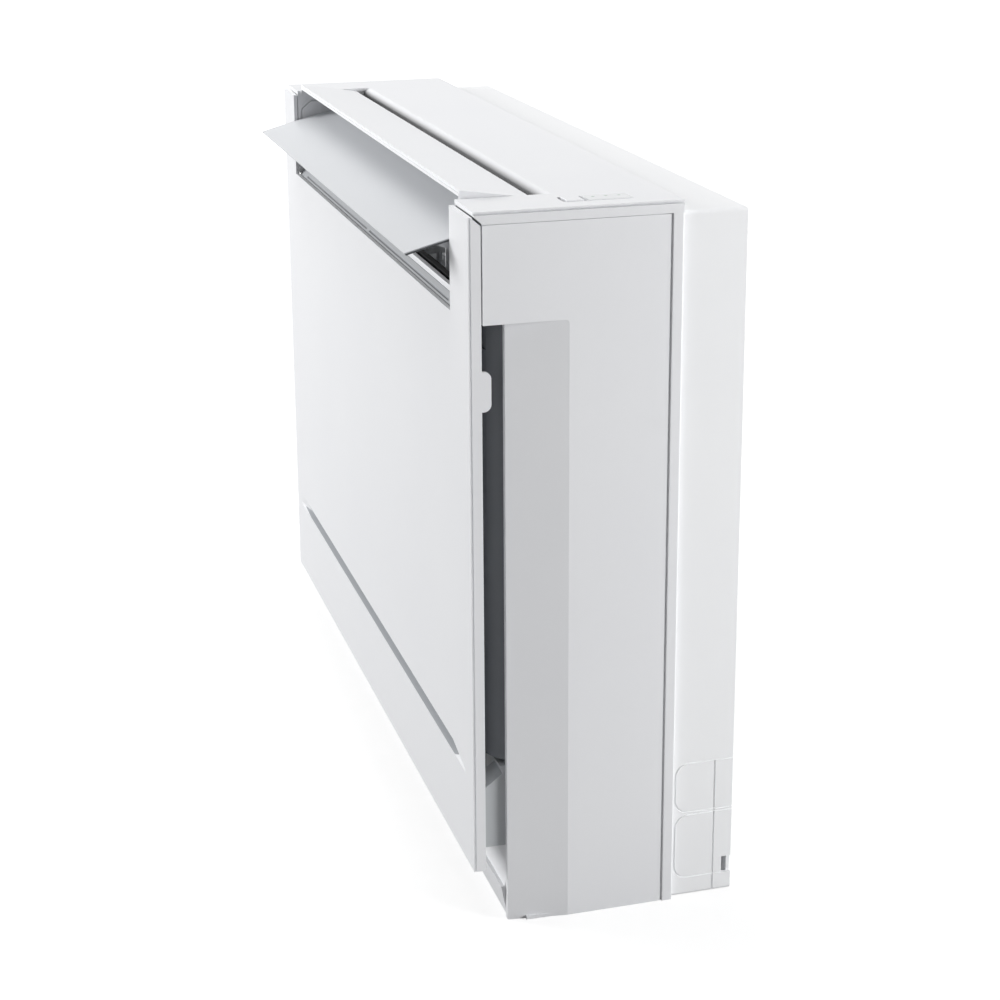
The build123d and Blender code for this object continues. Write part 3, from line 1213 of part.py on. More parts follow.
with BuildPart() as vane_motors:
    seat_z = DECK_Z - WALL - SEAT
    with BuildSketch(Plane.XY.offset(seat_z)):
        with Locations((vane_x(-1, 0), VANE_Y), (vane_x(1, 0), VANE_Y)):
            gear_motor()
    extrude(amount=-SMALL_MOTOR_EAR_T)
    with BuildSketch(Plane.XY.offset(seat_z)):
        with Locations((vane_x(-1, 0), VANE_Y), (vane_x(1, 0), VANE_Y)):
            Circle(SMALL_MOTOR_R)
    extrude(amount=-SMALL_MOTOR_H)
finish(vane_motors, "vane_motors")

with BuildPart() as flap_motor:
    seat_x = CHEEK_X + CHEEK_T + SEAT
    with BuildSketch(across(seat_x)):
        with Locations(Location((FLAP_PIVOT_Y + FLAP_MOTOR_BACK, FLAP_PIVOT_Z - WALL), 90)):
            gear_motor()
    extrude(amount=SMALL_MOTOR_EAR_T)
    with BuildSketch(across(seat_x)):
        with Locations((FLAP_PIVOT_Y + FLAP_MOTOR_BACK, FLAP_PIVOT_Z - WALL)):
            Circle(SMALL_MOTOR_R)
    extrude(amount=SMALL_MOTOR_H)
finish(flap_motor, "flap_motor")

# ---------------------------------------------------------------- intake grille and filters
with BuildPart() as intake_grille:
    with BuildSketch(facing(GRILLE_REAR_Y)):
        with Locations((0, (GRILLE_LOW_Z + GRILLE_TOP_Z) / 2)):
            Rectangle(2 * GRILLE_HALF, GRILLE_TOP_Z - GRILLE_LOW_Z)
        with Locations((-FILTER_X, FILTER_Z), (FILTER_X, FILTER_Z)):
            Rectangle(BED_W - 2 * FILTER_RIM, BED_H - 2 * FILTER_RIM, mode=Mode.SUBTRACT)
    extrude(amount=GRILLE_D)
    # beds that the filters lie in
    with BuildSketch(facing(GRILLE_Y)):
        with Locations((-FILTER_X, FILTER_Z), (FILTER_X, FILTER_Z)):
            Rectangle(BED_W, BED_H)
    extrude(amount=-(BARS_Y - GRILLE_Y), mode=Mode.SUBTRACT)
    # guard bars behind the filters
    with BuildSketch(facing(GRILLE_REAR_Y)):
        for x in (-FILTER_X, FILTER_X):
            with Locations((x, FILTER_Z)):
                with GridLocations(BED_W / (BAR_COLS + 1), 0, BAR_COLS, 1):
                    Rectangle(BAR_T, BED_H - FILTER_RIM)
                with GridLocations(0, BED_H / (BAR_ROWS + 1), 1, BAR_ROWS):
                    Rectangle(BED_W - FILTER_RIM, BAR_T)
    extrude(amount=BAR_T)
    # side guides that lead the air in from the gaps beside the panel
    with BuildSketch(Plane.XY.offset(GUIDE_LOW_Z)):
        for side in (-1, 1):
            with BuildLine():
                bowl = ThreePointArc(
                    (side * (GRILLE_HALF - BITE), GRILLE_Y + 2 * BITE),
                    (side * (GRILLE_HALF + BLOCK_OUT_X) / 2, GRILLE_Y + BOWL_IN),
                    (side * BLOCK_OUT_X, GUIDE_REAR_Y),
                )
                Polyline(
                    bowl @ 1,
                    (side * BLOCK_OUT_X, GUIDE_REAR_Y + WALL),
                    (side * (GRILLE_HALF + BLOCK_OUT_X) / 2, GRILLE_REAR_Y + WALL / 2),
                    (side * (GRILLE_HALF - BITE), GRILLE_REAR_Y),
                    bowl @ 0,
                )
            make_face()
    extrude(amount=GUIDE_TOP_Z - GUIDE_LOW_Z)
    for side in (-1, 1):
        with BuildSketch(facing(GRILLE_Y - BITE)):
            with Locations((side * (GRILLE_HALF + SLOT_OUT), SLOT_Z)):
                Rectangle(SLOT_W, SLOT_H)
        extrude(amount=-SLOT_D, mode=Mode.SUBTRACT)
    # holes for the four screws
    with BuildSketch(facing(GRILLE_Y)):
        with Locations((0, (GRILLE_LOW_Z + GRILLE_TOP_Z) / 2)):
            with GridLocations(
                2 * SCREW_X, GRILLE_TOP_Z - GRILLE_LOW_Z - 2 * SCREW_INSET_Z, 2, 2
            ):
                Circle(SCREW_R + SCREW_ROOM)
    extrude(amount=-GRILLE_D, mode=Mode.SUBTRACT)
finish(intake_grille, "intake_grille")

with BuildPart() as grille_screws:
    for face, reach, radius in (
        (GRILLE_Y, SCREW_HEAD_H, SCREW_HEAD_R),
        (GRILLE_Y, -GRILLE_D, SCREW_R),
    ):
        with BuildSketch(facing(face)):
            with Locations((0, (GRILLE_LOW_Z + GRILLE_TOP_Z) / 2)):
                with GridLocations(
                    2 * SCREW_X, GRILLE_TOP_Z - GRILLE_LOW_Z - 2 * SCREW_INSET_Z, 2, 2
                ):
                    Circle(radius)
        extrude(amount=reach)
finish(grille_screws, "grille_screws")


def make_filter(x):
    """Air filter: a rim, a lattice of ribs and a thin net behind them."""
    with BuildPart() as air_filter:
        with BuildSketch(facing(GRILLE_Y + FILTER_T)):
            with Locations((x, FILTER_Z)):
                Rectangle(FILTER_W, FILTER_H)
                Rectangle(
                    FILTER_W - 2 * FILTER_RIM, FILTER_H - 2 * FILTER_RIM, mode=Mode.SUBTRACT
                )
                with GridLocations(FILTER_W / (FILTER_COLS + 1), 0, FILTER_COLS, 1):
                    Rectangle(FILTER_RIB, FILTER_H - FILTER_RIM)
                with GridLocations(0, FILTER_H / (FILTER_ROWS + 1), 1, FILTER_ROWS):
                    Rectangle(FILTER_W - FILTER_RIM, FILTER_RIB)
        extrude(amount=FILTER_T)
        with BuildSketch(facing(GRILLE_Y + FILTER_T)):
            with Locations((x, FILTER_Z)):
                Rectangle(FILTER_W - FILTER_RIM, FILTER_H - FILTER_RIM)
        extrude(amount=FILTER_NET_T)
        # finger pull at the top
        with BuildSketch(facing(GRILLE_Y)):
            with Locations((x, FILTER_Z + FILTER_H / 2 - FILTER_RIM / 2)):
                SlotOverall(PULL_W, FILTER_RIM - BITE)
        extrude(amount=PULL_T)
    return air_filter


finish(make_filter(-FILTER_X), "filter_left")
finish(make_filter(FILTER_X), "filter_right")

# ---------------------------------------------------------------- heat exchanger
with BuildPart() as coil_fins:
    with BuildSketch(Plane.XY.offset(COIL_LOW_Z)):
        with Locations((COIL_MID_X, COIL_MID_Y)):
            Rectangle(COIL_LEN, COIL_D - 2 * FIN_DEEP)
            with GridLocations(FIN_PITCH, 0, FIN_COUNT, 1):
                Rectangle(FIN_T, COIL_D)
    extrude(amount=COIL_H)
finish(coil_fins, "coil_fins")

with BuildPart() as coil_plates:
    for x in (COIL_LEFT_X - COIL_PLATE_T, COIL_RIGHT_X):
        with BuildSketch(across(x)):
            with Locations((COIL_MID_Y, COIL_MID_Z)):
                Rectangle(COIL_D, COIL_H + 2 * PAN_T)
            with Locations(((COIL_REAR_Y + SHROUD_Y - SHROUD_T) / 2 - SEAT, COIL_MID_Z)):
                Rectangle(SHROUD_Y - SHROUD_T - COIL_REAR_Y, COIL_H * COIL_STAY)
        extrude(amount=COIL_PLATE_T)
finish(coil_plates, "coil_plates")

with BuildPart() as coil_bends:
    for x, way in ((COIL_LEFT_X - COIL_PLATE_T, -1), (COIL_RIGHT_X + COIL_PLATE_T, 1)):
        for i in range(BENDS):
            z = COIL_LOW_Z + (i + 0.5) * BEND_PITCH
            with BuildSketch(across(x)):
                with Locations((COIL_MID_Y, z + BEND_R)):
                    Circle(TUBE_R)
            revolve(axis=Axis((x, COIL_MID_Y, z), (0, 1, 0)), revolution_arc=way * 180)
finish(coil_bends, "coil_bends")

# ---------------------------------------------------------------- drain pan
PAN_LOW_Z = LOWER_TOP_Z + SEAT
PAN_LEFT_X = COIL_LEFT_X - PAN_LIP
PAN_RIGHT_X = COIL_RIGHT_X + PAN_LIP
PAN_REAR_Y = SHROUD_Y - SHROUD_T - SEAT
PAN_FRONT_Y = COIL_FRONT_Y - PAN_T - PAN_GAP

with BuildPart() as drain_pan:
    with BuildSketch(Plane.XY.offset(PAN_LOW_Z)):
        with Locations(((PAN_LEFT_X + PAN_RIGHT_X) / 2, (PAN_FRONT_Y + PAN_REAR_Y) / 2)):
            Rectangle(PAN_RIGHT_X - PAN_LEFT_X, PAN_REAR_Y - PAN_FRONT_Y)
    extrude(amount=PAN_H)
    pan_rim = drain_pan.faces().sort_by(Axis.Z)[-1]
    offset(amount=-PAN_T, openings=pan_rim)
    # rib that holds the coil off the floor of the pan
    with BuildSketch(Plane.XY.offset(PAN_LOW_Z)):
        with Locations((COIL_MID_X, COIL_MID_Y)):
            Rectangle(COIL_LEN + 2 * COIL_PLATE_T, RIB_T)
    extrude(amount=COIL_LOW_Z - PAN_T - SEAT - PAN_LOW_Z)
finish(drain_pan, "drain_pan")

# ---------------------------------------------------------------- fan
def on_fan(y):
    """Plane square to the fan's shaft at depth y, facing the room, on its centre."""
    return Plane(origin=(FAN_X, y, FAN_Z), x_dir=(1, 0, 0), z_dir=(0, -1, 0))


with BuildPart() as fan_wheel:
    # dished back disc with its hub cone, turned about the shaft
    with BuildSketch(Plane(origin=(FAN_X, 0, FAN_Z), x_dir=(1, 0, 0), z_dir=(0, 0, 1))):
        with BuildLine():
            Polyline(
                (SHAFT_R + RUN, HUB_FRONT_Y),
                (FAN_HUB_R, HUB_FRONT_Y),
                (FAN_HUB_R + HUB_STEP, HUB_FRONT_Y + HUB_SLOPE),
                (FAN_CONE_R, FAN_BACK_Y - FAN_BACK_T),
                (FAN_R, FAN_BACK_Y - FAN_BACK_T),
                (FAN_R, FAN_BACK_Y),
                (FAN_CONE_R - FAN_BACK_T, FAN_BACK_Y),
                (FAN_HUB_R, HUB_FRONT_Y + HUB_SLOPE + HUB_STEP),
                (FAN_HUB_R, HUB_BACK_Y),
                (SHAFT_R + RUN, HUB_BACK_Y),
                close=True,
            )
        make_face()
    revolve(axis=Axis((FAN_X, 0, FAN_Z), (0, 1, 0)))
    # blades, swept back from the eye to the rim
    with BuildSketch(on_fan(FAN_BACK_Y - FAN_BACK_T)):
        with PolarLocations(0, FAN_BLADES):
            with BuildLine():
                lead = ThreePointArc(
                    (BLADE_ROOT_R, 0), (BLADE_MID_R, BLADE_MID_SWEEP), (BLADE_TIP_R, BLADE_TIP_SWEEP)
                )
                trail = ThreePointArc(
                    (BLADE_TIP_R - BITE, BLADE_TIP_SWEEP + FAN_BLADE_T),
                    (BLADE_MID_R - BITE, BLADE_MID_SWEEP + FAN_BLADE_T),
                    (BLADE_ROOT_R, FAN_BLADE_T),
                )
                Line(lead @ 1, trail @ 0)
                Line(trail @ 1, lead @ 0)
            make_face()
    extrude(amount=FAN_D - 2 * FAN_BACK_T)
    # flared front ring that the blades are welded to
    with BuildSketch(Plane(origin=(FAN_X, 0, FAN_Z), x_dir=(1, 0, 0), z_dir=(0, 0, 1))):
        with BuildLine():
            flare = ThreePointArc(
                (FAN_EYE_R + FAN_BACK_T, FAN_FRONT_Y),
                (FAN_EYE_R + FAN_BACK_T + EYE_FLARE, FAN_FRONT_Y + FAN_RING_D * 0.7),
                (FAN_R, FAN_FRONT_Y + FAN_RING_D),
            )
            inside = ThreePointArc(
                (FAN_R, FAN_FRONT_Y + FAN_RING_D + FAN_BACK_T),
                (FAN_EYE_R + EYE_FLARE, FAN_FRONT_Y + FAN_RING_D * 0.7 + FAN_BACK_T),
                (FAN_EYE_R, FAN_FRONT_Y),
            )
            Line(flare @ 1, inside @ 0)
            Line(inside @ 1, flare @ 0)
        make_face()
    revolve(axis=Axis((FAN_X, 0, FAN_Z), (0, 1, 0)))
finish(fan_wheel, "fan_wheel")

with BuildPart() as fan_shaft:
    with BuildSketch(on_fan(MOTOR_Y + SHAFT_DEPTH)):
        Circle(SHAFT_R)
    extrude(amount=MOTOR_Y + SHAFT_DEPTH - HUB_FRONT_Y + NUT_T + SHAFT_TIP)
finish(fan_shaft, "fan_shaft")

with BuildPart() as fan_nut:
    with BuildSketch(on_fan(HUB_FRONT_Y)):
        RegularPolygon(NUT_R, 6)
        Circle(SHAFT_R + RUN, mode=Mode.SUBTRACT)
    extrude(amount=NUT_T)
finish(fan_nut, "fan_nut")

with BuildPart() as fan_motor:
    # drum with bevelled shoulders, a flange for the bushes and a rear bearing boss
    with BuildSketch(Plane(origin=(FAN_X, 0, FAN_Z), x_dir=(1, 0, 0), z_dir=(0, 0, 1))):
        with BuildLine():
            Polyline(
                (SHAFT_R + RUN, MOTOR_Y),
                (MOTOR_R - MOTOR_BEVEL, MOTOR_Y),
                (MOTOR_R, MOTOR_Y + MOTOR_BEVEL),
                (MOTOR_R, FLANGE_BACK_Y - BRACKET_T),
                (MOTOR_R + BUSH_REACH, FLANGE_BACK_Y - BRACKET_T),
                (MOTOR_R + BUSH_REACH, FLANGE_BACK_Y),
                (MOTOR_R, FLANGE_BACK_Y),
                (MOTOR_R, MOTOR_Y + MOTOR_L - MOTOR_BEVEL),
                (MOTOR_R - MOTOR_BEVEL, MOTOR_Y + MOTOR_L),
                (FAN_HUB_R, MOTOR_Y + MOTOR_L),
                (FAN_HUB_R, MOTOR_Y + MOTOR_L + MOTOR_GAP),
                (0, MOTOR_Y + MOTOR_L + MOTOR_GAP),
                (0, MOTOR_Y + SHAFT_DEPTH + SEAT),
                (SHAFT_R + RUN, MOTOR_Y + SHAFT_DEPTH + SEAT),
                close=True,
            )
        make_face()
    revolve(axis=Axis((FAN_X, 0, FAN_Z), (0, 1, 0)))
finish(fan_motor, "fan_motor")

with BuildPart() as motor_bushes:
    with BuildSketch(on_fan(BRACKET_Y)):
        with PolarLocations(BUSH_PLACE_R, BRACKET_LEGS, start_angle=90):
            Circle(BUSH_R)
    extrude(amount=BUSH_H)
finish(motor_bushes, "motor_bushes")

with BuildPart() as motor_bracket:
    with BuildSketch(on_fan(BRACKET_Y + BRACKET_T)):
        Circle(MOTOR_R + BUSH_REACH + BRACKET_RIM)
        Circle(MOTOR_R + BRACKET_RIM, mode=Mode.SUBTRACT)
        with PolarLocations(BUSH_PLACE_R + LEG_W, BRACKET_LEGS, start_angle=90):
            RectangleRounded(2 * LEG_W, 2 * LEG_W, LEG_R)
    extrude(amount=BRACKET_T)
    # legs that stand on the chassis
    with BuildSketch(on_fan(INNER_BACK_Y)):
        with PolarLocations(BUSH_PLACE_R + LEG_W, BRACKET_LEGS, start_angle=90):
            RectangleRounded(LEG_W, LEG_W, LEG_R)
    extrude(amount=INNER_BACK_Y - BRACKET_Y - BRACKET_T)
finish(motor_bracket, "motor_bracket")

# ---------------------------------------------------------------- fan chamber
with BuildPart() as fan_shroud:
    with BuildSketch(facing(SHROUD_Y)):
        with Locations((0, FAN_Z)):
            Rectangle(2 * DUCT_HALF, CHAMBER_TOP_Z - CHAMBER_LOW_Z)
        with Locations((FAN_X, FAN_Z)):
            Circle(MOUTH_R, mode=Mode.SUBTRACT)
    extrude(amount=SHROUD_T)
    # bell mouth, flared in front and reaching into the fan's eye
    with BuildSketch(Plane(origin=(FAN_X, 0, FAN_Z), x_dir=(1, 0, 0), z_dir=(0, 0, 1))):
        with BuildLine():
            Polyline(
                (MOUTH_R + MOUTH_FLARE, SHROUD_Y - SHROUD_T),
                (MOUTH_R, SHROUD_Y - SHROUD_T),
                (MOUTH_R - MOUTH_T, SHROUD_Y + MOUTH_T),
                (MOUTH_R - MOUTH_T, SHROUD_Y + MOUTH_LIP),
                (MOUTH_R, SHROUD_Y + MOUTH_LIP),
                (MOUTH_R, SHROUD_Y + MOUTH_T),
                (MOUTH_R + MOUTH_FLARE, SHROUD_Y),
                close=True,
            )
        make_face()
    revolve(axis=Axis((FAN_X, 0, FAN_Z), (0, 1, 0)))
finish(fan_shroud, "fan_shroud")

with BuildPart() as fan_guides:
    with BuildSketch(facing(INNER_BACK_Y)):
        for side in (-1, 1):
            waist = FAN_X + side * GUIDE_SHARE * DUCT_HALF
            with BuildLine():
                near = ThreePointArc(
                    (side * LOWER_HALF, CHAMBER_LOW_Z),
                    (waist, FAN_Z),
                    (side * (DUCT_HALF - WALL), CHAMBER_TOP_Z),
                )
                far = ThreePointArc(
                    (side * (DUCT_HALF - WALL + GUIDE_T), CHAMBER_TOP_Z),
                    (waist + side * GUIDE_T, FAN_Z),
                    (side * (LOWER_HALF + GUIDE_T), CHAMBER_LOW_Z),
                )
                Line(near @ 1, far @ 0)
                Line(far @ 1, near @ 0)
            make_face()
    extrude(amount=INNER_BACK_Y - SHROUD_Y - SEAT)
finish(fan_guides, "fan_guides")

# ---------------------------------------------------------------- lower duct and shutter
LOWER_FRONT_Y = BASE_FRONT_Y + SEAT
LOWER_REAR_Y = INNER_BACK_Y - SEAT
LOWER_BASE_Z = BASE_T + SEAT
LOWER_BEND_Y = LOWER_REAR_Y - LOWER_SWEEP

with BuildPart() as lower_duct:
    with BuildSketch(across(-LOWER_HALF)):
        with BuildLine():
            ramp = Polyline(
                (LOWER_FRONT_Y, APRON_TOP_Z),
                (LOWER_FRONT_Y + LOWER_RAMP, LOWER_FLOOR_Z),
                (LOWER_BEND_Y, LOWER_FLOOR_Z),
            )
            sweep_up = TangentArc(ramp @ 1, (LOWER_REAR_Y - WALL, LOWER_TOP_Z), tangent=(1, 0))
            top_edge = Line(sweep_up @ 1, (LOWER_REAR_Y, LOWER_TOP_Z))
            bend = TangentArc(
                (LOWER_BEND_Y, LOWER_FLOOR_Z - WALL), top_edge @ 1, tangent=(1, 0)
            )
            Polyline(
                bend @ 0,
                (LOWER_FRONT_Y + LOWER_RAMP - WALL / 2, LOWER_FLOOR_Z - WALL),
                (LOWER_FRONT_Y, APRON_TOP_Z - 2 * WALL),
                ramp @ 0,
            )
        make_face()
    extrude(amount=2 * LOWER_HALF)
    for x in (-LOWER_HALF - WALL, LOWER_HALF):
        with BuildSketch(across(x)):
            with Locations(((LOWER_FRONT_Y + LOWER_REAR_Y) / 2, (LOWER_BASE_Z + LOWER_TOP_Z) / 2)):
                Rectangle(LOWER_REAR_Y - LOWER_FRONT_Y, LOWER_TOP_Z - LOWER_BASE_Z)
            with Locations((SHUTTER_Y, SHUTTER_Z)):
                Circle(SHUTTER_PIN_R + RUN, mode=Mode.SUBTRACT)
        extrude(amount=WALL)
    # bar across the top that carries the drain pan
    with BuildSketch(across(-LOWER_HALF)):
        with Locations((SHROUD_Y - SHROUD_T - BAR_W / 2, LOWER_TOP_Z - WALL / 2)):
            Rectangle(BAR_W, WALL)
    extrude(amount=2 * LOWER_HALF)
finish(lower_duct, "lower_duct")

with BuildPart() as lower_shutter:
    with BuildSketch(across(-LOWER_HALF + SHUTTER_SLACK)):
        with Locations((SHUTTER_Y, SHUTTER_Z)):
            Circle(SHUTTER_PIN_R + BITE)
        with Locations((SHUTTER_Y, SHUTTER_Z - SHUTTER_H / 2)):
            RectangleRounded(SHUTTER_T, SHUTTER_H, SHUTTER_EDGE_R)
    extrude(amount=2 * (LOWER_HALF - SHUTTER_SLACK))
    with BuildSketch(across(-LOWER_HALF - WALL)):
        with Locations((SHUTTER_Y, SHUTTER_Z)):
            Circle(SHUTTER_PIN_R)
    extrude(amount=2 * (LOWER_HALF + WALL))
finish(lower_shutter, "lower_shutter")

with BuildPart() as shutter_motor:
    motor_place = (SHUTTER_Y + SHUTTER_MOTOR_BACK, SHUTTER_Z - SHUTTER_MOTOR_DROP)
    with BuildSketch(across(LOWER_HALF + WALL + SEAT)):
        with Locations(motor_place):
            gear_motor()
    extrude(amount=SMALL_MOTOR_EAR_T)
    with BuildSketch(across(LOWER_HALF + WALL + SEAT)):
        with Locations(motor_place):
            Circle(SMALL_MOTOR_R)
    extrude(amount=SMALL_MOTOR_H)
finish(shutter_motor, "shutter_motor")

# ---------------------------------------------------------------- control box
BOX_MID_X = BOX_X + BOX_W / 2
BOX_MID_Z = BOX_LOW_Z + BOX_H / 2
BOX_REAR_Y = INNER_BACK_Y - SEAT
BOARD_X = BOX_X + BOX_T + BOARD_GAP
BOARD_MID_Y = (BOX_FRONT_Y + BOX_REAR_Y) / 2
BOARD_L = (BOX_REAR_Y - BOX_FRONT_Y) * BOARD_SHARE_Y
BOARD_W = BOX_H * BOARD_SHARE_Z

with BuildPart() as control_box:
    with BuildSketch(facing(BOX_REAR_Y)):
        with Locations((BOX_MID_X, BOX_MID_Z)):
            Rectangle(BOX_W, BOX_H)
    extrude(amount=BOX_REAR_Y - BOX_FRONT_Y)
    box_mouth = control_box.faces().sort_by(Axis.Y)[0]
    offset(amount=-BOX_T, openings=box_mouth)
    with BuildSketch(across(BOX_X + BOX_T)):
        with Locations((BOARD_MID_Y, BOX_MID_Z)):
            with GridLocations(BOARD_L - BOARD_POST_IN, BOARD_W - BOARD_POST_IN, 2, 2):
                Circle(BOARD_POST_R)
    extrude(amount=BOARD_GAP)
finish(control_box, "control_box")

with BuildPart() as box_cover:
    with BuildSketch(facing(BOX_FRONT_Y - SEAT)):
        with Locations((BOX_MID_X, BOX_MID_Z)):
            Rectangle(BOX_W + 2 * BOX_T + 2 * SEAT, BOX_H + 2 * BOX_T + 2 * SEAT)
    extrude(amount=BOX_T)
    with BuildSketch(facing(BOX_FRONT_Y - SEAT)):
        with Locations((BOX_MID_X, BOX_MID_Z)):
            Rectangle(BOX_W + 2 * BOX_T + 2 * SEAT, BOX_H + 2 * BOX_T + 2 * SEAT)
            Rectangle(BOX_W + 2 * SEAT, BOX_H + 2 * SEAT, mode=Mode.SUBTRACT)
    extrude(amount=-COVER_FLANGE)
finish(box_cover, "box_cover")

with BuildPart() as circuit_board:
    with BuildSketch(across(BOARD_X)):
        with Locations((BOARD_MID_Y, BOX_MID_Z)):
            Rectangle(BOARD_L, BOARD_W)
    extrude(amount=BOARD_T)
    # capacitors, relay, transformer and heat sink
    with BuildSketch(across(BOARD_X + BOARD_T)):
        with Locations((BOARD_MID_Y, BOX_MID_Z)):
            with Locations((-BOARD_L / 5, BOARD_W * 0.3), (BOARD_L / 25, BOARD_W * 0.3)):
                Circle(BOARD_L / 11)
            with Locations((BOARD_L / 4, BOARD_W * 0.31), (BOARD_L / 4, BOARD_W / 5)):
                Rectangle(BOARD_L / 6, BOARD_W / 16)
            with Locations((-BOARD_L / 7, -BOARD_W / 4)):
                Rectangle(BOARD_L / 3, BOARD_W / 5)
            with Locations((BOARD_L / 4, -BOARD_W / 5)):
                Rectangle(BOARD_L / 5, BOARD_W * 0.3)
    extrude(amount=PART_TALL)
finish(circuit_board, "circuit_board")

with BuildPart() as terminal_block:
    with BuildSketch(facing(BOARD_MID_Y)):
        with Locations((BOX_MID_X, BOX_LOW_Z - SEAT - TERMINAL_H / 2)):
            Rectangle(TERMINAL_L, TERMINAL_H)
    extrude(amount=TERMINAL_D)
    with BuildSketch(facing(BOARD_MID_Y - TERMINAL_D)):
        with Locations((BOX_MID_X, BOX_LOW_Z - SEAT - TERMINAL_H)):
            with GridLocations(TERMINAL_L / TERMINAL_WAYS, 0, TERMINAL_WAYS, 1):
                Rectangle(TERMINAL_L / TERMINAL_WAYS - TERMINAL_BAR, TERMINAL_H)
    extrude(amount=-TERMINAL_D * 0.6, mode=Mode.SUBTRACT)
finish(terminal_block, "terminal_block")

gland_seat = Plane(
    origin=(GLAND_X, INNER_BACK_Y, GLAND_Z), x_dir=(1, 0, 0), z_dir=(0, -1, 0)
)

with BuildPart() as cord_gland:
    with BuildSketch(gland_seat):
        Circle(GLAND_R + GLAND_RIM)
        Circle(GLAND_BORE_R, mode=Mode.SUBTRACT)
    extrude(amount=GLAND_FLANGE)
    with BuildSketch(gland_seat):
        Circle(GLAND_R - 2 * SEAT)
        Circle(GLAND_BORE_R, mode=Mode.SUBTRACT)
    extrude(amount=-(CHASSIS_T - SEAT))
finish(cord_gland, "cord_gland")

# ---------------------------------------------------------------- controls in the top
with BuildPart() as display_board:
    with BuildSketch(Plane.XY.offset(DISPLAY_Z)):
        with Locations((BUTTON_X, (BOARD_FRONT_Y + BOARD_BACK_Y) / 2)):
            Rectangle(DISPLAY_W, BOARD_BACK_Y - BOARD_FRONT_Y + 2 * (POST_R + DISPLAY_RIM))
    extrude(amount=BOARD_T)
    with BuildSketch(Plane.XY.offset(DISPLAY_Z + BOARD_T)):
        with Locations((BUTTON_X, BUTTON_Y)):
            Rectangle(SWITCH_W, SWITCH_W)
    extrude(amount=SWITCH_H)
finish(display_board, "display_board")

BUTTON_FOOT_Z = DISPLAY_Z + BOARD_T + SWITCH_H + BUTTON_TRAVEL + SEAT

with BuildPart() as power_button:
    with BuildSketch(Plane.XY.offset(CEILING_Z - SEAT)):
        with Locations((BUTTON_X, BUTTON_Y)):
            RectangleRounded(BUTTON_W, BUTTON_L, CORNER_R)
    extrude(amount=TOP_T + SEAT + BUTTON_PROUD)
    fillet(power_button.faces().sort_by(Axis.Z)[-1].edges(), BUTTON_EDGE_R)
    with BuildSketch(Plane.XY.offset(CEILING_Z - SEAT)):
        with Locations((BUTTON_X, BUTTON_Y)):
            RectangleRounded(BUTTON_W + BUTTON_RIM, BUTTON_L + BUTTON_RIM, CORNER_R)
    extrude(amount=-BUTTON_RIM_T)
    with BuildSketch(Plane.XY.offset(BUTTON_FOOT_Z)):
        with Locations((BUTTON_X, BUTTON_Y)):
            Circle(STEM_R)
    extrude(amount=CEILING_Z - SEAT - BUTTON_FOOT_Z)
finish(power_button, "power_button")

with BuildPart() as indicator_window:
    with BuildSketch(Plane.XY.offset(HEIGHT - WINDOW_T)):
        with Locations((BUTTON_X, WINDOW_Y)):
            RectangleRounded(WINDOW_W, WINDOW_L, CORNER_R)
        with Locations(*LAMP_PLACES):
            Circle(LAMP_R + RUN, mode=Mode.SUBTRACT)
    extrude(amount=WINDOW_T + WINDOW_PROUD)
finish(indicator_window, "indicator_window")

with BuildPart() as indicator_lamps:
    with BuildSketch(Plane.XY.offset(DISPLAY_Z + BOARD_T)):
        with Locations(*LAMP_PLACES):
            Circle(LAMP_R)
    extrude(amount=HEIGHT + WINDOW_PROUD - DISPLAY_Z - BOARD_T)
finish(indicator_lamps, "indicator_lamps")

# ---------------------------------------------------------------- pipes and drain


def make_tube(points, bend, outside, inside):
    """Bent tube along a line through the points, with the same bend at each corner."""
    with BuildPart() as tube:
        with BuildLine():
            route = FilletPolyline(*points, radius=bend)
        with BuildSketch(Plane(origin=route @ 0, z_dir=route % 0)):
            Circle(outside)
            if inside:
                Circle(inside, mode=Mode.SUBTRACT)
        sweep()
    return tube


drain_route = [
    (DRAIN_X, DRAIN_Y, PAN_LOW_Z - SEAT),
    (DRAIN_X, DRAIN_Y, DRAIN_Z),
    (DRAIN_X, SPIGOT_END_Y, DRAIN_Z),
]
with BuildPart() as drain_spigot:
    add(make_tube(drain_route, DRAIN_BEND, SPIGOT_R, SPIGOT_BORE_R).part)
    # collar that stops the hose
    with BuildSketch(facing(SPIGOT_END_Y - SPIGOT_L)):
        with Locations((DRAIN_X, DRAIN_Z)):
            Circle(SPIGOT_R + SPIGOT_COLLAR)
            Circle(SPIGOT_BORE_R, mode=Mode.SUBTRACT)
    extrude(amount=SPIGOT_COLLAR)
finish(drain_spigot, "drain_spigot")

gas_route = [
    (PIPE_START_X, GAS_Y, GAS_TOP_Z),
    (GAS_X, GAS_Y, GAS_TOP_Z),
    (GAS_X, GAS_Y, GAS_Z),
    (GAS_X, JOG_Y, GAS_Z),
    (GAS_END_X, JOG_Y + JOG_L, GAS_Z),
    (GAS_END_X, UNION_Y, GAS_Z),
]
liquid_route = [
    (PIPE_START_X, LIQUID_Y, LIQUID_TOP_Z),
    (LIQUID_X, LIQUID_Y, LIQUID_TOP_Z),
    (LIQUID_X, LIQUID_Y, LIQUID_Z),
    (LIQUID_X, UNION_Y, LIQUID_Z),
]
with BuildPart() as coil_pipes:
    add(make_tube(gas_route, PIPE_BEND, PIPE_R_LARGE, 0).part)
    add(make_tube(liquid_route, PIPE_BEND, PIPE_R_SMALL, 0).part)
finish(coil_pipes, "coil_pipes")

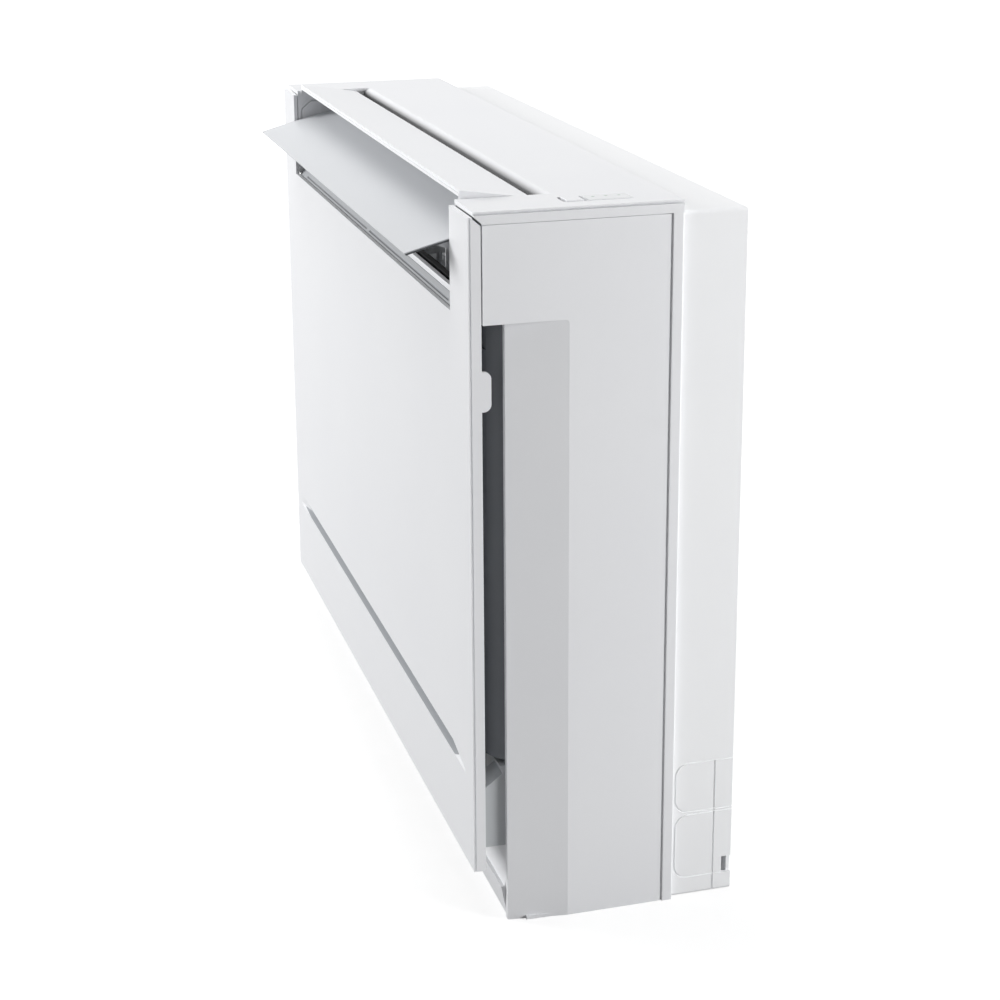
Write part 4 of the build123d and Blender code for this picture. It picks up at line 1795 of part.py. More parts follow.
with BuildPart() as pipe_unions:
    for x, z, hexagon, thread, pipe in (
        (GAS_END_X, GAS_Z, GAS_HEX_R, GAS_THREAD_R, PIPE_R_LARGE),
        (LIQUID_X, LIQUID_Z, LIQUID_HEX_R, LIQUID_THREAD_R, PIPE_R_SMALL),
    ):
        seat = Plane(origin=(x, UNION_Y, z), x_dir=(1, 0, 0), z_dir=(0, 1, 0))
        with BuildSketch(seat):
            RegularPolygon(hexagon, 6)
        extrude(amount=UNION_HEX_L)
        with BuildSketch(seat):
            Circle(thread)
        extrude(amount=UNION_L)
        with BuildSketch(seat.offset(UNION_L)):
            Circle(pipe - UNION_WALL)
        extrude(amount=-UNION_L * UNION_BORE, mode=Mode.SUBTRACT)
finish(pipe_unions, "pipe_unions")

with BuildPart() as room_sensor:
    with BuildSketch(facing(GRILLE_Y)):
        with Locations((SCREW_X, SENSOR_Z)):
            RectangleRounded(SENSOR_W, SENSOR_H, SENSOR_R)
    extrude(amount=SENSOR_T)
    with BuildSketch(facing(GRILLE_Y - SENSOR_T)):
        with Locations((SCREW_X, SENSOR_Z)):
            SlotOverall(PROBE_L, PROBE_W, rotation=90)
    extrude(amount=PROBE_W / 2)
finish(room_sensor, "room_sensor")
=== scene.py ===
import json
from math import cos, pi, radians, sin

import bmesh
import bpy
from mathutils import Matrix, Vector


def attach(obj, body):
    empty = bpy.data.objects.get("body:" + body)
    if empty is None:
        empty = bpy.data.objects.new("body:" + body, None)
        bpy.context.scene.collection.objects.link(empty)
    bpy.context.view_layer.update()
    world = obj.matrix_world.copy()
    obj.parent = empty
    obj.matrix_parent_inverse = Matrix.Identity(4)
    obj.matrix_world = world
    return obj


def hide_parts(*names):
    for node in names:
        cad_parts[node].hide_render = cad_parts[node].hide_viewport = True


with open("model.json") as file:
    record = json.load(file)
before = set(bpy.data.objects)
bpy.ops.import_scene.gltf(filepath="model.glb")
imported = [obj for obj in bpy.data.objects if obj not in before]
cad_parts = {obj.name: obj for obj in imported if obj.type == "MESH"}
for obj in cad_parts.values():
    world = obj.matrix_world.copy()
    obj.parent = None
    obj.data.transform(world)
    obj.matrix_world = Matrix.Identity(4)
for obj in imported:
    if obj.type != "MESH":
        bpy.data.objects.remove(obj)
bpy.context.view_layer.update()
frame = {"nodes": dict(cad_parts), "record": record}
MM = 0.001

# ---------------------------------------------------------------- camera
# place and angles that put the object's corners where the photograph has them
CAMERA_AT = Vector((1840.5, -510.5, 897.5)) * MM
YAW, PITCH, ROLL = radians(-73.962), radians(-16.254), radians(-0.358)
ahead = Vector((cos(PITCH) * sin(YAW), cos(PITCH) * cos(YAW), sin(PITCH)))
level = Vector((cos(YAW), -sin(YAW), 0))
right = cos(ROLL) * level + sin(ROLL) * level.cross(ahead)
over = right.cross(ahead)

bpy.ops.object.camera_add()
camera = bpy.context.object
camera.name = "photo_camera"
turn = Matrix((right, over, -ahead)).transposed().to_4x4()
camera.matrix_world = Matrix.Translation(CAMERA_AT) @ turn
camera.data.lens = 74.62
camera.data.sensor_width = 36
camera.data.shift_y = -0.1
camera.data.clip_start, camera.data.clip_end = 0.05, 50
bpy.context.scene.camera = camera


# ---------------------------------------------------------------- materials
def linear(code):
    """Linear colour of an sRGB hex value."""
    parts = [int(code[i : i + 2], 16) / 255 for i in (1, 3, 5)]
    return [c / 12.92 if c <= 0.04045 else ((c + 0.055) / 1.055) ** 2.4 for c in parts] + [1]


def node(tree, kind, links, **settings):
    """Adds a node, sets its options, and sets or links its sockets."""
    made = tree.nodes.new(kind)
    for name, value in settings.items():
        setattr(made, name, value)
    for name, value in links.items():
        if isinstance(value, bpy.types.NodeSocket):
            tree.links.new(value, made.inputs[name])
        else:
            made.inputs[name].default_value = value
    return made


def blank(name):
    """A new material, its empty node tree and the object's own coordinates in metres."""
    made = bpy.data.materials.new(name)
    made.use_nodes = True
    made.node_tree.nodes.clear()
    place = node(made.node_tree, "ShaderNodeTexCoord", {}).outputs["Object"]
    return made, made.node_tree, place


def per_mm(size):
    """Scale that makes a pattern's cells so many millimetres wide."""
    return 1 / (size * MM)


def lines_per(size):
    """Scale that makes a wave pattern's lines so many millimetres apart."""
    return pi / 10 / (size * MM)


ABS_GRAIN, ABS_IOR, FLOW_CLOUD = 0.9, 1.53, 160


def satin_plastic(name, pale, dark, roughness, grain=ABS_GRAIN, ior=ABS_IOR):
    """Moulded plastic with a spark-eroded grain, in mm, and faint clouds where it flowed."""
    made, tree, place = blank(name)
    cloud = node(tree, "ShaderNodeTexNoise", {
        "Vector": place, "Scale": per_mm(FLOW_CLOUD), "Detail": 3})
    tint = node(tree, "ShaderNodeMix", {
        "Factor": cloud.outputs["Fac"], "A": linear(dark), "B": linear(pale)}, data_type="RGBA")
    fine = node(tree, "ShaderNodeTexNoise", {"Vector": place, "Scale": per_mm(grain), "Detail": 2})
    sheen = node(tree, "ShaderNodeMapRange", {
        "Value": fine.outputs["Fac"], "To Min": roughness - 0.05, "To Max": roughness + 0.06})
    bump = node(tree, "ShaderNodeBump", {
        "Height": fine.outputs["Fac"], "Strength": 0.15, "Distance": 0.00004})
    shader = node(tree, "ShaderNodeBsdfPrincipled", {
        "Base Color": tint.outputs["Result"], "Roughness": sheen.outputs["Result"],
        "Normal": bump.outputs["Normal"], "IOR": ior})
    node(tree, "ShaderNodeOutputMaterial", {"Surface": shader.outputs["BSDF"]})
    return made


def bare_metal(name, pale, dark, roughness, cell):
    """Bare metal whose colour and sheen change from patch to patch, each so many mm wide."""
    made, tree, place = blank(name)
    patch = node(tree, "ShaderNodeTexVoronoi", {"Vector": place, "Scale": per_mm(cell)})
    value = node(tree, "ShaderNodeSeparateColor", {"Color": patch.outputs["Color"]}).outputs["Red"]
    tint = node(tree, "ShaderNodeMix", {
        "Factor": value, "A": linear(dark), "B": linear(pale)}, data_type="RGBA")
    sheen = node(tree, "ShaderNodeMapRange", {
        "Value": value, "To Min": roughness - 0.08, "To Max": roughness + 0.08})
    shader = node(tree, "ShaderNodeBsdfPrincipled", {
        "Base Color": tint.outputs["Result"], "Roughness": sheen.outputs["Result"],
        "Metallic": 1.0})
    node(tree, "ShaderNodeOutputMaterial", {"Surface": shader.outputs["BSDF"]})
    return made


# ABS, injection moulded in a spark-eroded tool and left unpainted: soft satin highlights that
# break up at their edges. The real grain is about 0.3 mm and is drawn at 0.9 mm.
white_abs = satin_plastic("white_moulded_abs", "#EFF0F2", "#EBECEF", 0.42)
# The same white ABS, greyed for the flap: the grey is painted shade.
flap_shade_abs = satin_plastic("white_abs_greyed_for_painted_shade", "#D7D9DC", "#D2D4D7", 0.45)
# The same ABS made whiter for the chassis at the back as painted light, with a slightly tighter
# sheen.
chassis_light_abs = satin_plastic("white_abs_whitened_for_painted_light", "#F9FAFB", "#F5F6F8", 0.38)
# The same ABS coloured mid grey: on the ledge, the duct's pale grey deepened as painted shade under
# the flap; on the strip in the panel's groove, painted shade in its hollow.
grey_shade_abs = satin_plastic("mid_grey_abs_for_painted_shade", "#A8ABAF", "#9FA2A6", 0.5, grain=1.2)
# The white ABS with painted shade in the slot: dark grey and dull in its depth, where the duct
# shades it, and fading out in fine specks up the roll.
SLOT_SHADE_Z = (594.5, 600.2)
slot_shade_abs, tree, place = blank("white_abs_with_painted_slot_shade")
height = node(tree, "ShaderNodeSeparateXYZ", {"Vector": place}).outputs["Z"]
shade_fade = node(tree, "ShaderNodeMapRange", {
    "Value": height, "From Min": SLOT_SHADE_Z[0] * MM, "From Max": SLOT_SHADE_Z[1] * MM},
    interpolation_type="SMOOTHSTEP")
speck = node(tree, "ShaderNodeTexNoise", {"Vector": place, "Scale": per_mm(ABS_GRAIN), "Detail": 2})
shade_cover = node(tree, "ShaderNodeMath", {}, operation="MULTIPLY_ADD", use_clamp=True)
tree.links.new(speck.outputs["Fac"], shade_cover.inputs[0])
shade_cover.inputs[1].default_value = 0.05
tree.links.new(shade_fade.outputs["Result"], shade_cover.inputs[2])
tint = node(tree, "ShaderNodeMix", {
    "Factor": shade_cover.outputs["Value"], "A": linear("#2C2D2F"), "B": linear("#EFF0F2")},
    data_type="RGBA")
shader = node(tree, "ShaderNodeBsdfPrincipled", {
    "Base Color": tint.outputs["Result"], "Roughness": 0.45, "IOR": ABS_IOR})
node(tree, "ShaderNodeOutputMaterial", {"Surface": shader.outputs["BSDF"]})
# The same ABS in the pale grey of the air ducts: duller, because their tool is left coarser.
duct_abs = satin_plastic("pale_grey_moulded_abs", "#DADCDD", "#D3D5D7", 0.52, grain=1.2)
# The same ABS coloured dark grey, for the intake grille that carries the filters and for the
# flap's core: on the core it is painted shade along the flap's end, on the grille partly its own
# grey and partly painted shade in the gap behind the panel.
dark_shade_abs = satin_plastic("dark_grey_abs_with_painted_shade", "#63666A", "#5A5D61", 0.5, grain=1.2)
# Polypropylene of the shrouds inside: a waxy grey. The white hinge blocks take it too, as painted
# shade in the gap beside the panel.
inner_pp = satin_plastic(
    "grey_moulded_polypropylene", "#B9BCBE", "#AEB1B4", 0.48, grain=1.4, ior=1.49)
# Glass-filled SAN of the fan wheel: smooth and nearly black, with pale cloudy fibre marks.
fan_san = satin_plastic("black_glass_filled_san", "#34373A", "#26282A", 0.38, grain=2.0, ior=1.57)
# Black polypropylene net: dull, with threads both ways. The real net has a thread every 0.9 mm and
# is drawn with one every 2.4 mm.
NET_THREAD = 2.4
filter_pp, tree, place = blank("black_woven_polypropylene")
warp = node(tree, "ShaderNodeTexWave", {
    "Vector": place, "Scale": lines_per(NET_THREAD)}, bands_direction="X")
weft = node(tree, "ShaderNodeTexWave", {
    "Vector": place, "Scale": lines_per(NET_THREAD)}, bands_direction="Z")
thread = node(tree, "ShaderNodeMath", {}, operation="MAXIMUM")
tree.links.new(warp.outputs["Fac"], thread.inputs[0])
tree.links.new(weft.outputs["Fac"], thread.inputs[1])
tint = node(tree, "ShaderNodeMix", {
    "Factor": thread.outputs["Value"], "A": linear("#141516"), "B": linear("#3A3C3F")},
    data_type="RGBA")
bump = node(tree, "ShaderNodeBump", {
    "Height": thread.outputs["Value"], "Strength": 0.6, "Distance": 0.0003})
shader = node(tree, "ShaderNodeBsdfPrincipled", {
    "Base Color": tint.outputs["Result"], "Roughness": 0.58, "Normal": bump.outputs["Normal"],
    "IOR": 1.49})
node(tree, "ShaderNodeOutputMaterial", {"Surface": shader.outputs["BSDF"]})
# PBT of the small fittings: charcoal and smooth.
dark_pbt = satin_plastic("charcoal_moulded_pbt", "#3C3E41", "#303234", 0.4, grain=1.2, ior=1.58)
# Enamel baked on the motors' steel cans: black, smooth and fairly glossy.
motor_enamel = satin_plastic("black_baked_enamel", "#2F3133", "#222426", 0.3, grain=2.5, ior=1.5)
# EPDM rubber, moulded: matt and slightly mottled.
rubber = satin_plastic("black_moulded_epdm", "#2A2A2B", "#1E1E1F", 0.75, grain=1.8, ior=1.52)
# Expanded polystyrene, steam moulded: matt white, with a fine grey outline round each bead.
FOAM_BEAD = 3.5
foam, tree, place = blank("white_bead_foam")
bead = node(tree, "ShaderNodeTexVoronoi", {
    "Vector": place, "Scale": per_mm(FOAM_BEAD)}, feature="DISTANCE_TO_EDGE")
rise = node(tree, "ShaderNodeMapRange", {"Value": bead.outputs["Distance"], "From Max": 0.12})
tint = node(tree, "ShaderNodeMix", {
    "Factor": rise.outputs["Result"], "A": linear("#CFCFCB"), "B": linear("#F0F0EE")},
    data_type="RGBA")
bump = node(tree, "ShaderNodeBump", {
    "Height": rise.outputs["Result"], "Strength": 0.5, "Distance": 0.0002})
shader = node(tree, "ShaderNodeBsdfPrincipled", {
    "Base Color": tint.outputs["Result"], "Roughness": 0.8, "Normal": bump.outputs["Normal"],
    "IOR": 1.3})
node(tree, "ShaderNodeOutputMaterial", {"Surface": shader.outputs["BSDF"]})
# Glass-epoxy board with a green solder mask.
board = satin_plastic("green_solder_mask_board", "#2E6B45", "#1F4F33", 0.35, grain=2.2, ior=1.5)
# Opal acrylic, polished: nearly the casing's white, but with a sharp gloss.
window_pmma = satin_plastic("opal_polished_acrylic", "#E6E8EA", "#E0E3E5", 0.14, grain=3, ior=1.49)
# Polycarbonate of the lamps, moulded and tinted: pale green and glossy.
lamp_lens = satin_plastic(
    "green_tinted_polycarbonate", "#A9BFAE", "#93AD9A", 0.2, grain=2, ior=1.58)
# Zinc-coated steel sheet: grey with the patches of its spangle.
zinc_sheet = bare_metal("zinc_coated_steel_sheet", "#C7CBCE", "#B2B7BB", 0.42, cell=9)
# Zinc-plated turned steel of the shaft, nut and screws.
plated_steel = bare_metal("bright_zinc_plated_steel", "#CDD0D2", "#BDC1C4", 0.3, cell=1.5)
# Aluminium fin sheet with a pale blue water-shedding coat: fins 1.6 mm apart, drawn every 3.2 mm,
# each with a painted highlight at its edge and painted shade in the gap.
FIN_PITCH = 3.2
fin_sheet, tree, place = blank("coated_aluminium_fin_sheet")
fin_highlight_and_shade = node(tree, "ShaderNodeTexWave", {
    "Vector": place, "Scale": lines_per(FIN_PITCH)}, bands_direction="X")
tint = node(tree, "ShaderNodeMix", {
    "Factor": fin_highlight_and_shade.outputs["Fac"], "A": linear("#6E7880"), "B": linear("#CDD6DC")},
    data_type="RGBA")
bump = node(tree, "ShaderNodeBump", {
    "Height": fin_highlight_and_shade.outputs["Fac"], "Strength": 0.5, "Distance": 0.0005})
shader = node(tree, "ShaderNodeBsdfPrincipled", {
    "Base Color": tint.outputs["Result"], "Roughness": 0.38, "Metallic": 1.0,
    "Normal": bump.outputs["Normal"]})
node(tree, "ShaderNodeOutputMaterial", {"Surface": shader.outputs["BSDF"]})
# Drawn copper tube, slightly tarnished.
copper = bare_metal("drawn_copper_tube", "#C9825F", "#A9664A", 0.32, cell=16)
# Turned brass of the flare unions.
brass = bare_metal("turned_brass", "#CDA869", "#B8914F", 0.28, cell=5)

# The finish of each slot in the record, and the pieces whose finish differs from their slot's.
FINISH = {
    "white_plastic": white_abs, "duct_plastic": duct_abs, "inner_plastic": inner_pp,
    "fan_plastic": fan_san, "screw_steel": plated_steel, "motor_paint": motor_enamel,
    "rubber": rubber, "zinc_steel": zinc_sheet, "filter_plastic": filter_pp,
    "dark_plastic": dark_pbt, "fin_aluminium": fin_sheet, "copper": copper, "brass": brass,
    "pan_foam": foam, "board": board, "window_plastic": window_pmma, "lamp_plastic": lamp_lens,
}
OTHER_FINISH = {
    # the chassis's whiter ABS is painted light; the hinge blocks' grey is painted shade, and the
    # grille's dark grey partly so
    "chassis": chassis_light_abs, "intake_grille": dark_shade_abs, "hinge_blocks": inner_pp,
}
SLOT = {part["node"]: part["material_slot"] for part in frame["record"]["subparts"]}
BODY = {
    name: body for body, names in frame["record"]["behaviour"]["bodies"].items() for name in names
}
for name, slot in SLOT.items():
    mesh = frame["nodes"][name].data
    mesh.materials.clear()
    mesh.materials.append(OTHER_FINISH.get(name, FINISH[slot]))


# ---------------------------------------------------------------- tools for the pieces
WAY = {"X": Vector((1, 0, 0)), "Y": Vector((0, 1, 0)), "Z": Vector((0, 0, 1))}


def edit():
    """Opens the piece in hand for editing, with nothing chosen."""
    bpy.ops.object.mode_set(mode="EDIT")
    bpy.ops.mesh.select_mode(type="VERT")
    bpy.ops.mesh.select_all(action="DESELECT")


def choose(kind, test):
    """In edit mode, chooses the points, or the edges by middle and way, that pass a test in mm."""
    bpy.ops.mesh.select_mode(type=kind)
    bpy.ops.mesh.select_all(action="DESELECT")
    mesh = bmesh.from_edit_mesh(bpy.context.object.data)
    if kind == "VERT":
        for point in mesh.verts:
            point.select_set(test(point.co / MM))
    else:
        for line in mesh.edges:
            a, b = (point.co / MM for point in line.verts)
            line.select_set(test((a + b) / 2, (b - a).normalized()))
    mesh.select_flush_mode()
    bmesh.update_edit_mesh(bpy.context.object.data)


def near(a, b):
    """Whether two places lie within a tenth of a millimetre."""
    return abs(a - b) < 0.1


def split(axis, place):
    """In edit mode, cuts the whole mesh across an axis at a place in mm."""
    bpy.ops.mesh.select_all(action="SELECT")
    bpy.ops.mesh.bisect(plane_co=WAY[axis] * (place * MM), plane_no=WAY[axis])


def shift(x, y, z):
    """Moves what is chosen by so many mm."""
    bpy.ops.transform.translate(value=(x * MM, y * MM, z * MM))


def primitive(add, name, at, **shape):
    """Adds a primitive with nothing else chosen, its middle in mm, and opens it for editing."""
    bpy.ops.object.select_all(action="DESELECT")
    add(location=Vector(at) * MM, **shape)
    bpy.context.object.name = bpy.context.object.data.name = name
    bpy.ops.object.transform_apply(location=True, rotation=True, scale=True)
    edit()
    return bpy.context.object


def bar(name, axis, low, high, outline):
    """A bar along an axis: its outline is drawn point by point in mm, filled and drawn out."""
    def spot(a, b, along=low):
        return Vector({"X": (along, a, b), "Y": (a, along, b), "Z": (a, b, along)}[axis]) * MM

    piece = primitive(bpy.ops.mesh.primitive_plane_add, name, (0, 0, 0), size=0.01)
    bpy.ops.mesh.select_all(action="SELECT")
    bpy.ops.mesh.merge(type="CENTER")
    bpy.ops.transform.translate(value=spot(*outline[0]))
    for a, b in zip(outline, outline[1:] + outline[:1]):
        bpy.ops.mesh.extrude_region_move(
            TRANSFORM_OT_translate={"value": spot(*b) - spot(*a)})
    bpy.ops.mesh.select_all(action="SELECT")
    bpy.ops.mesh.remove_doubles(threshold=0.001 * MM)
    bpy.ops.mesh.edge_face_add()
    bpy.ops.mesh.extrude_region_move(
        TRANSFORM_OT_translate={"value": spot(0, 0, high) - spot(0, 0, low)})
    bpy.ops.mesh.select_all(action="SELECT")
    bpy.ops.mesh.normals_make_consistent(inside=False)
    bpy.ops.object.mode_set(mode="OBJECT")
    return piece


def box(name, low, high):
    """A plain block between two corners in mm, left in object mode."""
    middle = [(a + b) / 2 for a, b in zip(low, high)]
    piece = primitive(bpy.ops.mesh.primitive_cube_add, name, middle, size=MM)
    bpy.ops.mesh.select_all(action="SELECT")
    bpy.ops.transform.resize(
        value=[b - a for a, b in zip(low, high)], center_override=Vector(middle) * MM)
    bpy.ops.object.mode_set(mode="OBJECT")
    return piece


def pin(name, axis, at, radius, length):
    """A round pin from a point in mm along X, Y or Z; a negative length goes the other way."""
    turn = {"X": (0, pi / 2, 0), "Y": (pi / 2, 0, 0), "Z": (0, 0, 0)}[axis]
    piece = primitive(
        bpy.ops.mesh.primitive_cylinder_add, name, Vector(at) + WAY[axis] * (length / 2),
        vertices=32, radius=radius * MM, depth=abs(length) * MM, rotation=turn)
    bpy.ops.object.mode_set(mode="OBJECT")
    return piece


def across(side, a, b):
    """Two distances from the middle as places on the left (-1) or right (1), the lower first."""
    return sorted((side * a, side * b))


def mirrored(side, outline):
    """An outline drawn for the right, as it is on that side."""
    return [(side * a, b) for a, b in outline]


def arc(centre, radius, start, end, steps=8):
    """Points on an arc, angles in degrees."""
    return [
        (centre[0] + radius * cos(radians(start + (end - start) * i / steps)),
         centre[1] + radius * sin(radians(start + (end - start) * i / steps)))
        for i in range(steps + 1)
    ]


def rounded(low, high, radius):
    """Outline of a rectangle with rounded corners."""
    (a, b), (c, d) = [v + radius for v in low], [v - radius for v in high]
    corners = ((c, d, 0), (a, d, 90), (a, b, 180), (c, b, 270))
    return [point for x, y, turn in corners for point in arc((x, y), radius, turn, turn + 90, 4)]


def bowed(a, b, rise):
    """Points of a shallow curve from a to b that swells to the left by the rise."""
    a, b = Vector(a), Vector(b)
    steps = 10
    side = Vector((a.y - b.y, b.x - a.x)).normalized()
    return [
        tuple(a.lerp(b, t / steps) + side * rise * 4 * (t / steps) * (1 - t / steps))
        for t in range(steps + 1)
    ]


def hinged(pivot, degrees, points):
    """Points given across and along a swung plate, as (y, z) in mm."""
    turn = radians(degrees)
    return [
        (pivot[0] + a * cos(turn) + b * sin(turn), pivot[1] - a * sin(turn) + b * cos(turn))
        for a, b in points
    ]


def combine(piece, others, operation="UNION"):
    """Fuses other pieces to this one, or cuts them out of it."""
    for other in others:
        step = piece.modifiers.new("combine", "BOOLEAN")
        step.operation, step.object, step.solver = operation, other, "EXACT"
        bpy.context.view_layer.objects.active = piece
        bpy.ops.object.modifier_apply(modifier=step.name)
        bpy.data.objects.remove(other)


def finished(piece, names, body, material, edge=0.4, angle=35):
    """Rounds a piece's edges, smooths it, gives it its finish and sets it on its body."""
    bpy.ops.object.select_all(action="DESELECT")
    piece.select_set(True)
    bpy.context.view_layer.objects.active = piece
    edit()
    bpy.ops.mesh.select_all(action="SELECT")
    bpy.ops.mesh.remove_doubles(threshold=0.002 * MM)
    bpy.ops.mesh.dissolve_limited(angle_limit=radians(0.5))
    bpy.ops.object.mode_set(mode="OBJECT")
    if edge:
        step = piece.modifiers.new("rounded_edges", "BEVEL")
        step.width, step.segments = edge * MM, 2
        step.limit_method, step.angle_limit = "ANGLE", radians(angle)
        bpy.ops.object.modifier_apply(modifier=step.name)
    bpy.ops.object.shade_smooth_by_angle(angle=radians(angle))
    step = piece.modifiers.new("flat_faces", "WEIGHTED_NORMAL")
    step.keep_sharp, step.weight = True, 90
    bpy.ops.object.modifier_apply(modifier=step.name)
    piece.data.materials.clear()
    piece.data.materials.append(material)
    if names:
        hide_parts(*names)
    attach(piece, body)


def soften(name):
    """Sets a merged copy of a CAD piece in its place, with its sharp edges rounded off."""
    source = frame["nodes"][name]
    piece = bpy.data.objects.new(name + "_piece", source.data.copy())
    piece.data.name = piece.name
    bpy.context.collection.objects.link(piece)
    material = OTHER_FINISH.get(name, FINISH[SLOT[name]])
    finished(piece, [name], BODY[name], material, angle=30)


for name in (
    "chassis", "base_apron", "hinge_blocks", "upper_duct", "intake_grille", "lower_duct",
    "power_button", "indicator_window", "lower_shutter",
):
    soften(name)

# ---------------------------------------------------------------- what moves, as (y, z) in mm
# hinge lines of flap, visor and panel, how far the first two stand open, and the panel's pegs
FLAP_AT, FLAP_OPEN = (-102.7, 560.8), 75
VISOR_AT, VISOR_OPEN = (-63, 592.5), 8.75
HINGE_AT = (-96, 80)
PEG_X, PEG_Z = 347, 556

# ---------------------------------------------------------------- front casing
# distances from the middle: the sides, the rim round them, the inner faces of both, the slot's
# ends, and the two faces of the cheeks beside the outlet
SIDE_X, RIM_X, INNER_X, SLOT_X, CHEEK_X = 374, 375, 371.3, 320.5, (321.5, 324.5)
# from front to back: the nose over the panel, the boxes beside the outlet, the slot's back edge,
# the rear strip's front edge and the back
NOSE_Y, BOX_Y, SLOT_Y, STRIP_Y, BACK_Y = -109, (-102, -34), -31, 50, 59
# heights of the rim's foot and of the top, and how thick the walls are
RIM_Z, TOP_Z, WALL = 590, 600, 2.2
# the scoops: where the sides are drawn in furthest and not at all, how far up they reach, and how
# round their top corner is
SCOOP_Y, SCOOP_Z, SCOOP_R = (-83, -33), 512, 3

casing = bar("front_casing_piece", "Z", TOP_Z - 3, TOP_Z, [
    (-RIM_X, NOSE_Y), (-SLOT_X, NOSE_Y), (-SLOT_X, SLOT_Y), (SLOT_X, SLOT_Y), (SLOT_X, NOSE_Y),
    (RIM_X, NOSE_Y), (RIM_X, BACK_Y), (-RIM_X, BACK_Y)])
parts = [
    bar("turned_down_edge", "Y", BACK_Y - WALL, BACK_Y,
        rounded((-371.4, 590.3), (371.4, 598), 0.5)),
    bar("base_plate", "Z", 0, 3, [
        (-371.6, -68), (371.6, -68), (372.4, -33), (372.4, 39.7), (-372.4, 39.7), (-372.4, -33)]),
]
rim = [(NOSE_Y, TOP_Z), (NOSE_Y, 596.4), (BOX_Y[0], RIM_Z), (BACK_Y, RIM_Z), (BACK_Y, TOP_Z)]
nose = rim[:3] + [(BOX_Y[0] + WALL, RIM_Z), (BOX_Y[0] + WALL, TOP_Z - 1)]
rear_strip = rounded((INNER_X, STRIP_Y), (RIM_X, BACK_Y), 0.8)
upper_side = [
    (BOX_Y[0], SCOOP_Z), (BOX_Y[0], RIM_Z + 1), (STRIP_Y + 0.5, RIM_Z + 1),
    (STRIP_Y + 0.5, SCOOP_Z)]
lower_side = [
    (SIDE_X, STRIP_Y), (SIDE_X, SCOOP_Y[1]), (367, SCOOP_Y[0]), (361.5, SCOOP_Y[0]),
    (361.5, SCOOP_Y[0] + WALL), (364.8, -78.6), (INNER_X, SCOOP_Y[1]), (INNER_X, STRIP_Y)]
scoop_corner = arc((SCOOP_Y[1] - SCOOP_R, SCOOP_Z - SCOOP_R), SCOOP_R, 0, 90, 5) + [
    (SCOOP_Y[1] - SCOOP_R, SCOOP_Z + 0.5), (SCOOP_Y[1], SCOOP_Z + 0.5)]
cheek = [
    (NOSE_Y - 0.1, SCOOP_Z + 1), (NOSE_Y - 0.1, 597.5), (BOX_Y[1], 597.5), (BOX_Y[1], SCOOP_Z),
    (BOX_Y[0], SCOOP_Z)]
for side in (-1, 1):
    low, high = across(side, CHEEK_X[0], 373)
    parts += [
        bar("rim", "X", *across(side, INNER_X, RIM_X), rim),
        bar("nose", "X", *across(side, CHEEK_X[0], 372), nose),
        bar("rear_strip", "Z", 0, 598, mirrored(side, rear_strip)),
        bar("upper_side", "X", *across(side, INNER_X, SIDE_X), upper_side),
        bar("lower_side", "Z", 0, SCOOP_Z + 1, mirrored(side, lower_side)),
        bar("scoop_corner", "X", *across(side, 368, SIDE_X), scoop_corner),
        box("box_floor", (low, BOX_Y[0], SCOOP_Z), (high, BOX_Y[1], SCOOP_Z + WALL)),
        box("box_front", (low, BOX_Y[0], SCOOP_Z), (high, BOX_Y[0] + WALL, 598)),
        bar("cheek", "X", *across(side, *CHEEK_X), cheek),
    ]
combine(casing, parts)

cuts = [
    bar("button_hole", "Z", RIM_Z, TOP_Z + 10, rounded((336.6, -32.1), (356.4, -12.9), 2)),
    bar("window_bed", "Z", TOP_Z - 1.4, TOP_Z + 10, rounded((336.2, -12.3), (356.8, 24.3), 2)),
]
# line cut into the cheeks, like one round a hinge plate
hinge_plate_line = [
    (-105.8, 566), (-104.6, 566), (-104.6, 580.3), (-95, 588.6), (-70, 588.6), (-70, 589.8),
    (-95.5, 589.8), (-105.8, 580.9)]
for side in (-1, 1):
    low, high = across(side, 372.6, 376)
    cuts += [
        box("line_by_strip", (low, STRIP_Y - 1.2, -1), (high, STRIP_Y, RIM_Z)),
        box("line_by_top", (low, -110, 597.3), (high, 60, TOP_Z - 1.4)),
        box("line_under_rim", (low, -103, RIM_Z - 0.8), (high, STRIP_Y - 0.5, RIM_Z)),
        pin("peg_hole", "Y", (side * PEG_X, -104, PEG_Z), 3.6, 6),
        pin("flap_bore", "X", (side * 320, *FLAP_AT), 3.05, side * 6),
        pin("visor_bore", "X", (side * 320, *VISOR_AT), 2.05, side * 6),
        bar("line_on_cheek", "X", *across(side, 321, 323.5), hinge_plate_line),
    ]
combine(casing, cuts, "DIFFERENCE")
# the fold where the sides begin to draw in stays crisp
edit()
choose("EDGE", lambda at, way: near(at.y, SCOOP_Y[1]) and abs(way.z) > 0.9)
bpy.ops.mesh.mark_sharp()
bpy.ops.object.mode_set(mode="OBJECT")
finished(casing, ["front_casing"], "casing", white_abs, edge=0.35, angle=28)

# rolled edge behind the slot, running down into the duct, with painted shade in its depth
ROLL_X, ROLL_AT, ROLL_R = 320.9, (-30, 592), 8
roll = bar("slot_roll", "X", -ROLL_X, ROLL_X, [
    (-38, 577), *arc(ROLL_AT, ROLL_R, 180, 90, 14), (-30, 597.2), (-35.6, 592), (-35.6, 577)])
finished(roll, [], "casing", slot_shade_abs, edge=0)

# ---------------------------------------------------------------- front panel
# from front to back: the face, the feet of ribs, arms and pegs inside the sheet, the sheet's back
# and the flanges' rear edge
FACE_Y, ROOT_Y, SHEET_Y, FLANGE_Y = -113.5, -110.5, -110, -103.5
# the foot and the head, and the notch round the outlet
FOOT_Z, HEAD_Z, NOTCH_X, NOTCH_Z = 53, 595.8, 320, 512.5
# the pull tabs and the hinge arms: from where to where, and how round
TAB_Z, TAB_R = (450, 470), 6
ARM_X, ARM_R = (330.7, 335.7), 6.5

